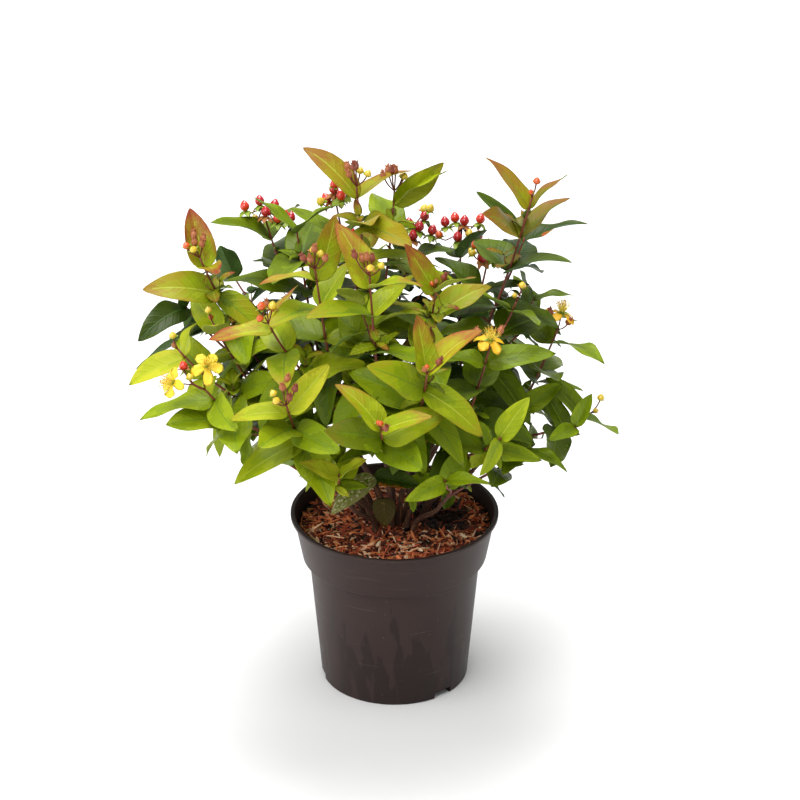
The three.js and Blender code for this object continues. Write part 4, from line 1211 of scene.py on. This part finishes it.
chipSurfaces, chipTone = surfacesOf("shreddedBark_", chipTones, shreddedBark, 1.5)
# Each chip shows its own tone on its top face and the darker tone under "sides" on its other faces and ends:
# painted shade
chips = {"count": 2900, "length": [3, 21], "width": [1, 4], "thickness": [0.6, 2], "crowd": [1.9, 1.6, 1.5],
         "slimmest": 0.55, "flattest": 0.8, "reach": 86.5, "tilt": 0.9, "roll": 2, "sink": 1, "heap": 3.6,
         "taper": [0.8, 1.2], "bow": 0.12,
         "shares": [("rustChip", 0.3), ("redChip", 0.52), ("darkChip", 0.68), ("tanChip", 0.875),
                    ("paleChip", 0.92), ("blackChip", 0.994), ("greyScrap", 1)],
         "sides": {"darkChip": "blackChip", "blackChip": "blackChip", "tanChip": "rustChip",
                   "rustChip": "redChip", "paleChip": "tanChip"}}
bed = {"seed": 7, "rings": 26, "spokes": 72, "sink": 1.6, "rough": 1.4, "darkShare": 0.3, "edge": 88,
       "slope": 40, "down": 1.4, "swell": 0.9, "ripple": 0.5}
hollow = {"x": 42, "y": 12, "depth": 7, "spread": 650, "radius": 29, "ragged": 10, "darkTo": 0.94,
          "blackTo": 0.6}  # the dip in the mulch, right of the middle, whose chips go dark: partly dark soil, partly painted shadow of the crown


def mulchHeight(x, y):
    mound = mulch["mound"] * np.clip((bed["edge"] - np.hypot(x, y)) / bed["slope"], 0, 1)
    away = (x - hollow["x"]) ** 2 + (y - hollow["y"]) ** 2
    height = mulch["level"] - bed["down"] + mound - hollow["depth"] * np.exp(-away / hollow["spread"])
    swell = bed["swell"] * np.sin(x * 0.21 + 1) * np.cos(y * 0.17)
    return height + swell + bed["ripple"] * np.sin(x * 0.6 + y * 0.43)


def chipChunk(i, dice):
    radius = chips["reach"] * math.sqrt(dice.random())
    spin = dice.random() * 2 * math.pi
    x, y = radius * math.cos(spin), radius * math.sin(spin)
    length, width, thick = (mixed(*chips[size], dice.random() ** crowd) for size, crowd
                            in zip(("length", "width", "thickness"), chips["crowd"]))
    width = min(width, length * chips["slimmest"])
    thick = min(thick, width * chips["flattest"])
    yaw = dice.random() * math.pi * 2
    tilt = (dice.random() - 0.5) * chips["tilt"]
    roll = (dice.random() - 0.5) * chips["roll"]
    turn = Quaternion(up, yaw) @ Quaternion(depth, tilt) @ Quaternion(Vector((1, 0, 0)), roll)
    rows = []
    for share, narrow in ((-0.5, 0.45), (-0.2, 1), (0.2, 0.9), (0.5, 0.3)):
        taper = narrow * mixed(*chips["taper"], dice.random())
        bow = chips["bow"] * length * (0.25 - share * share) * (dice.random() - 0.3)
        for aside, high in ((-1, -0.6), (1, -0.4), (0.8, 0.5), (-0.7, 0.6)):
            rows.append((share * length, aside * width / 2 * taper, high * thick * taper + bow))
    matrix = turn.to_matrix()
    points = np.array([matrix @ Vector(row) for row in rows])
    points += np.array([x, y, mulchHeight(x, y) - chips["sink"] + dice.random() * chips["heap"]])
    outside = np.hypot(points[:, 0], points[:, 1]).max() - mulch["wallRadius"]
    if outside > 0:
        points -= np.array([x, y, 0]) / max(radius, 1) * outside
    cast = dice.random()
    look = next(name for name, most in chips["shares"] if cast <= most)
    # Most chips in the dip right of the middle go dark or black: partly dark soil, partly painted shadow of
    # the crown
    paintedShadowReach = hollow["radius"] + hollow["ragged"] * (dice.random() - 0.5)
    if math.hypot(x - hollow["x"], y - hollow["y"]) < paintedShadowReach and cast < hollow["darkTo"]:
        look = "blackChip" if cast < hollow["blackTo"] else "darkChip"
    # The sides and ends are darker than the top face: painted shade
    side = chipTone[chips["sides"].get(look, "darkChip")]
    faces = [(gridQuads(4, 4, closed=True), np.tile([side, side, chipTone[look], side], 3)),
             (np.array([[3, 2, 1, 0], [12, 13, 14, 15]]), side)]
    maps = [np.tile([0, 0.3, 0.6, 0.9], 4) + i * 0.37, np.repeat([0, 0.3, 0.7, 1], 4) + i * 0.11]
    return {"points": points, "faces": faces, "map": np.stack(maps, axis=1)}


print("laying the mulch")
dice = np.random.default_rng(bed["seed"])
rings, spins = [], spinsOf(bed["spokes"])
for ring in range(bed["rings"] + 1):
    radius = mulch["wallRadius"] * ring / bed["rings"] + 0.01
    x, y = radius * np.cos(spins), radius * np.sin(spins)
    rough = (dice.random(bed["spokes"]) - 0.5) * bed["rough"] if ring else 0
    rings.append(np.stack([x, y, mulchHeight(x, y) - bed["sink"] + rough], axis=1))
points = np.concatenate(rings)
dark = dice.random(bed["rings"] * bed["spokes"]) < bed["darkShare"]
looks = np.where(dark, chipTone["darkChip"], chipTone["blackChip"])
under = {"points": points, "faces": [(gridQuads(bed["rings"] + 1, bed["spokes"], closed=True), looks)],
         "map": points[:, :2] * 0.2}
mulchChunks = [under] + [chipChunk(i, dice) for i in range(chips["count"])]
joinedPiece("bark_mulch", mulchChunks, chipSurfaces, ["potting_mix"], smooth=False)

print("setting the stage")
stage = {"floor": 60, "aimHeight": 0.28, "roomFrom": -0.4, "roomLeft": 0.62, "roomRight": 0.4}
corners = [(x * stage["floor"], y * stage["floor"], 0) for x, y in ((-1, -1), (1, -1), (1, 1), (-1, 1))]
floorMesh = bpy.data.meshes.new("studio_floor")
floorMesh.from_pydata(corners, [], [(0, 1, 2, 3)])
floorMaterial, _, _ = newSurface("matt_white_board", "e4e4e4", 0.9, 1.45, 0.1)
floorMesh.materials.append(floorMaterial)
floor = newObject("studio_floor", floorMesh)

world = bpy.data.worlds.new("softRoom")
bpy.context.scene.world = world
world.use_nodes = True
tree = world.node_tree
parts = addNode(tree, "SeparateXYZ", {"Vector": addNode(tree, "TexCoord", {}).outputs["Generated"]})
dimmed = addNode(tree, "MapRange", {"Value": parts.outputs["X"], "From Min": stage["roomFrom"],
                                    "From Max": 1, "To Min": stage["roomLeft"],
                                    "To Max": stage["roomRight"]})
feed(tree.nodes["Background"], {"Color": (1, 1, 1, 1), "Strength": dimmed})

lamps = {
    "keySoftbox": {"place": (-0.9, -3.4, 6.2), "size": 4, "power": 272},
    "topSoftbox": {"place": (-0.4, 2.5, 7.2), "size": 4.4, "power": 610},
    "sideSoftbox": {"place": (-3.4, -1.6, 1.8), "size": 3, "power": 70},
}
for name, one in lamps.items():
    lamp = bpy.data.lights.new(name, "AREA")
    lamp.size = one["size"]
    lamp.energy = one["power"]
    holder = newObject(name, lamp)
    holder.location = one["place"]
    aim = Vector((0, 0, stage["aimHeight"])) - holder.location
    holder.rotation_euler = aim.to_track_quat("-Z", "Y").to_euler()

camera = bpy.data.cameras.new("camera")
camera.lens = view["lens"]
camera.sensor_width = view["sensor"]
camera.clip_end = view["farEnd"]
holder = newObject("camera", camera)
holder.location = view["target"] + towards * view["distance"]
holder.rotation_euler = (math.pi / 2 - view["elevation"], 0, 0)
bpy.context.scene.camera = holder
bpy.context.scene.view_settings.view_transform = "Standard"

print("done")
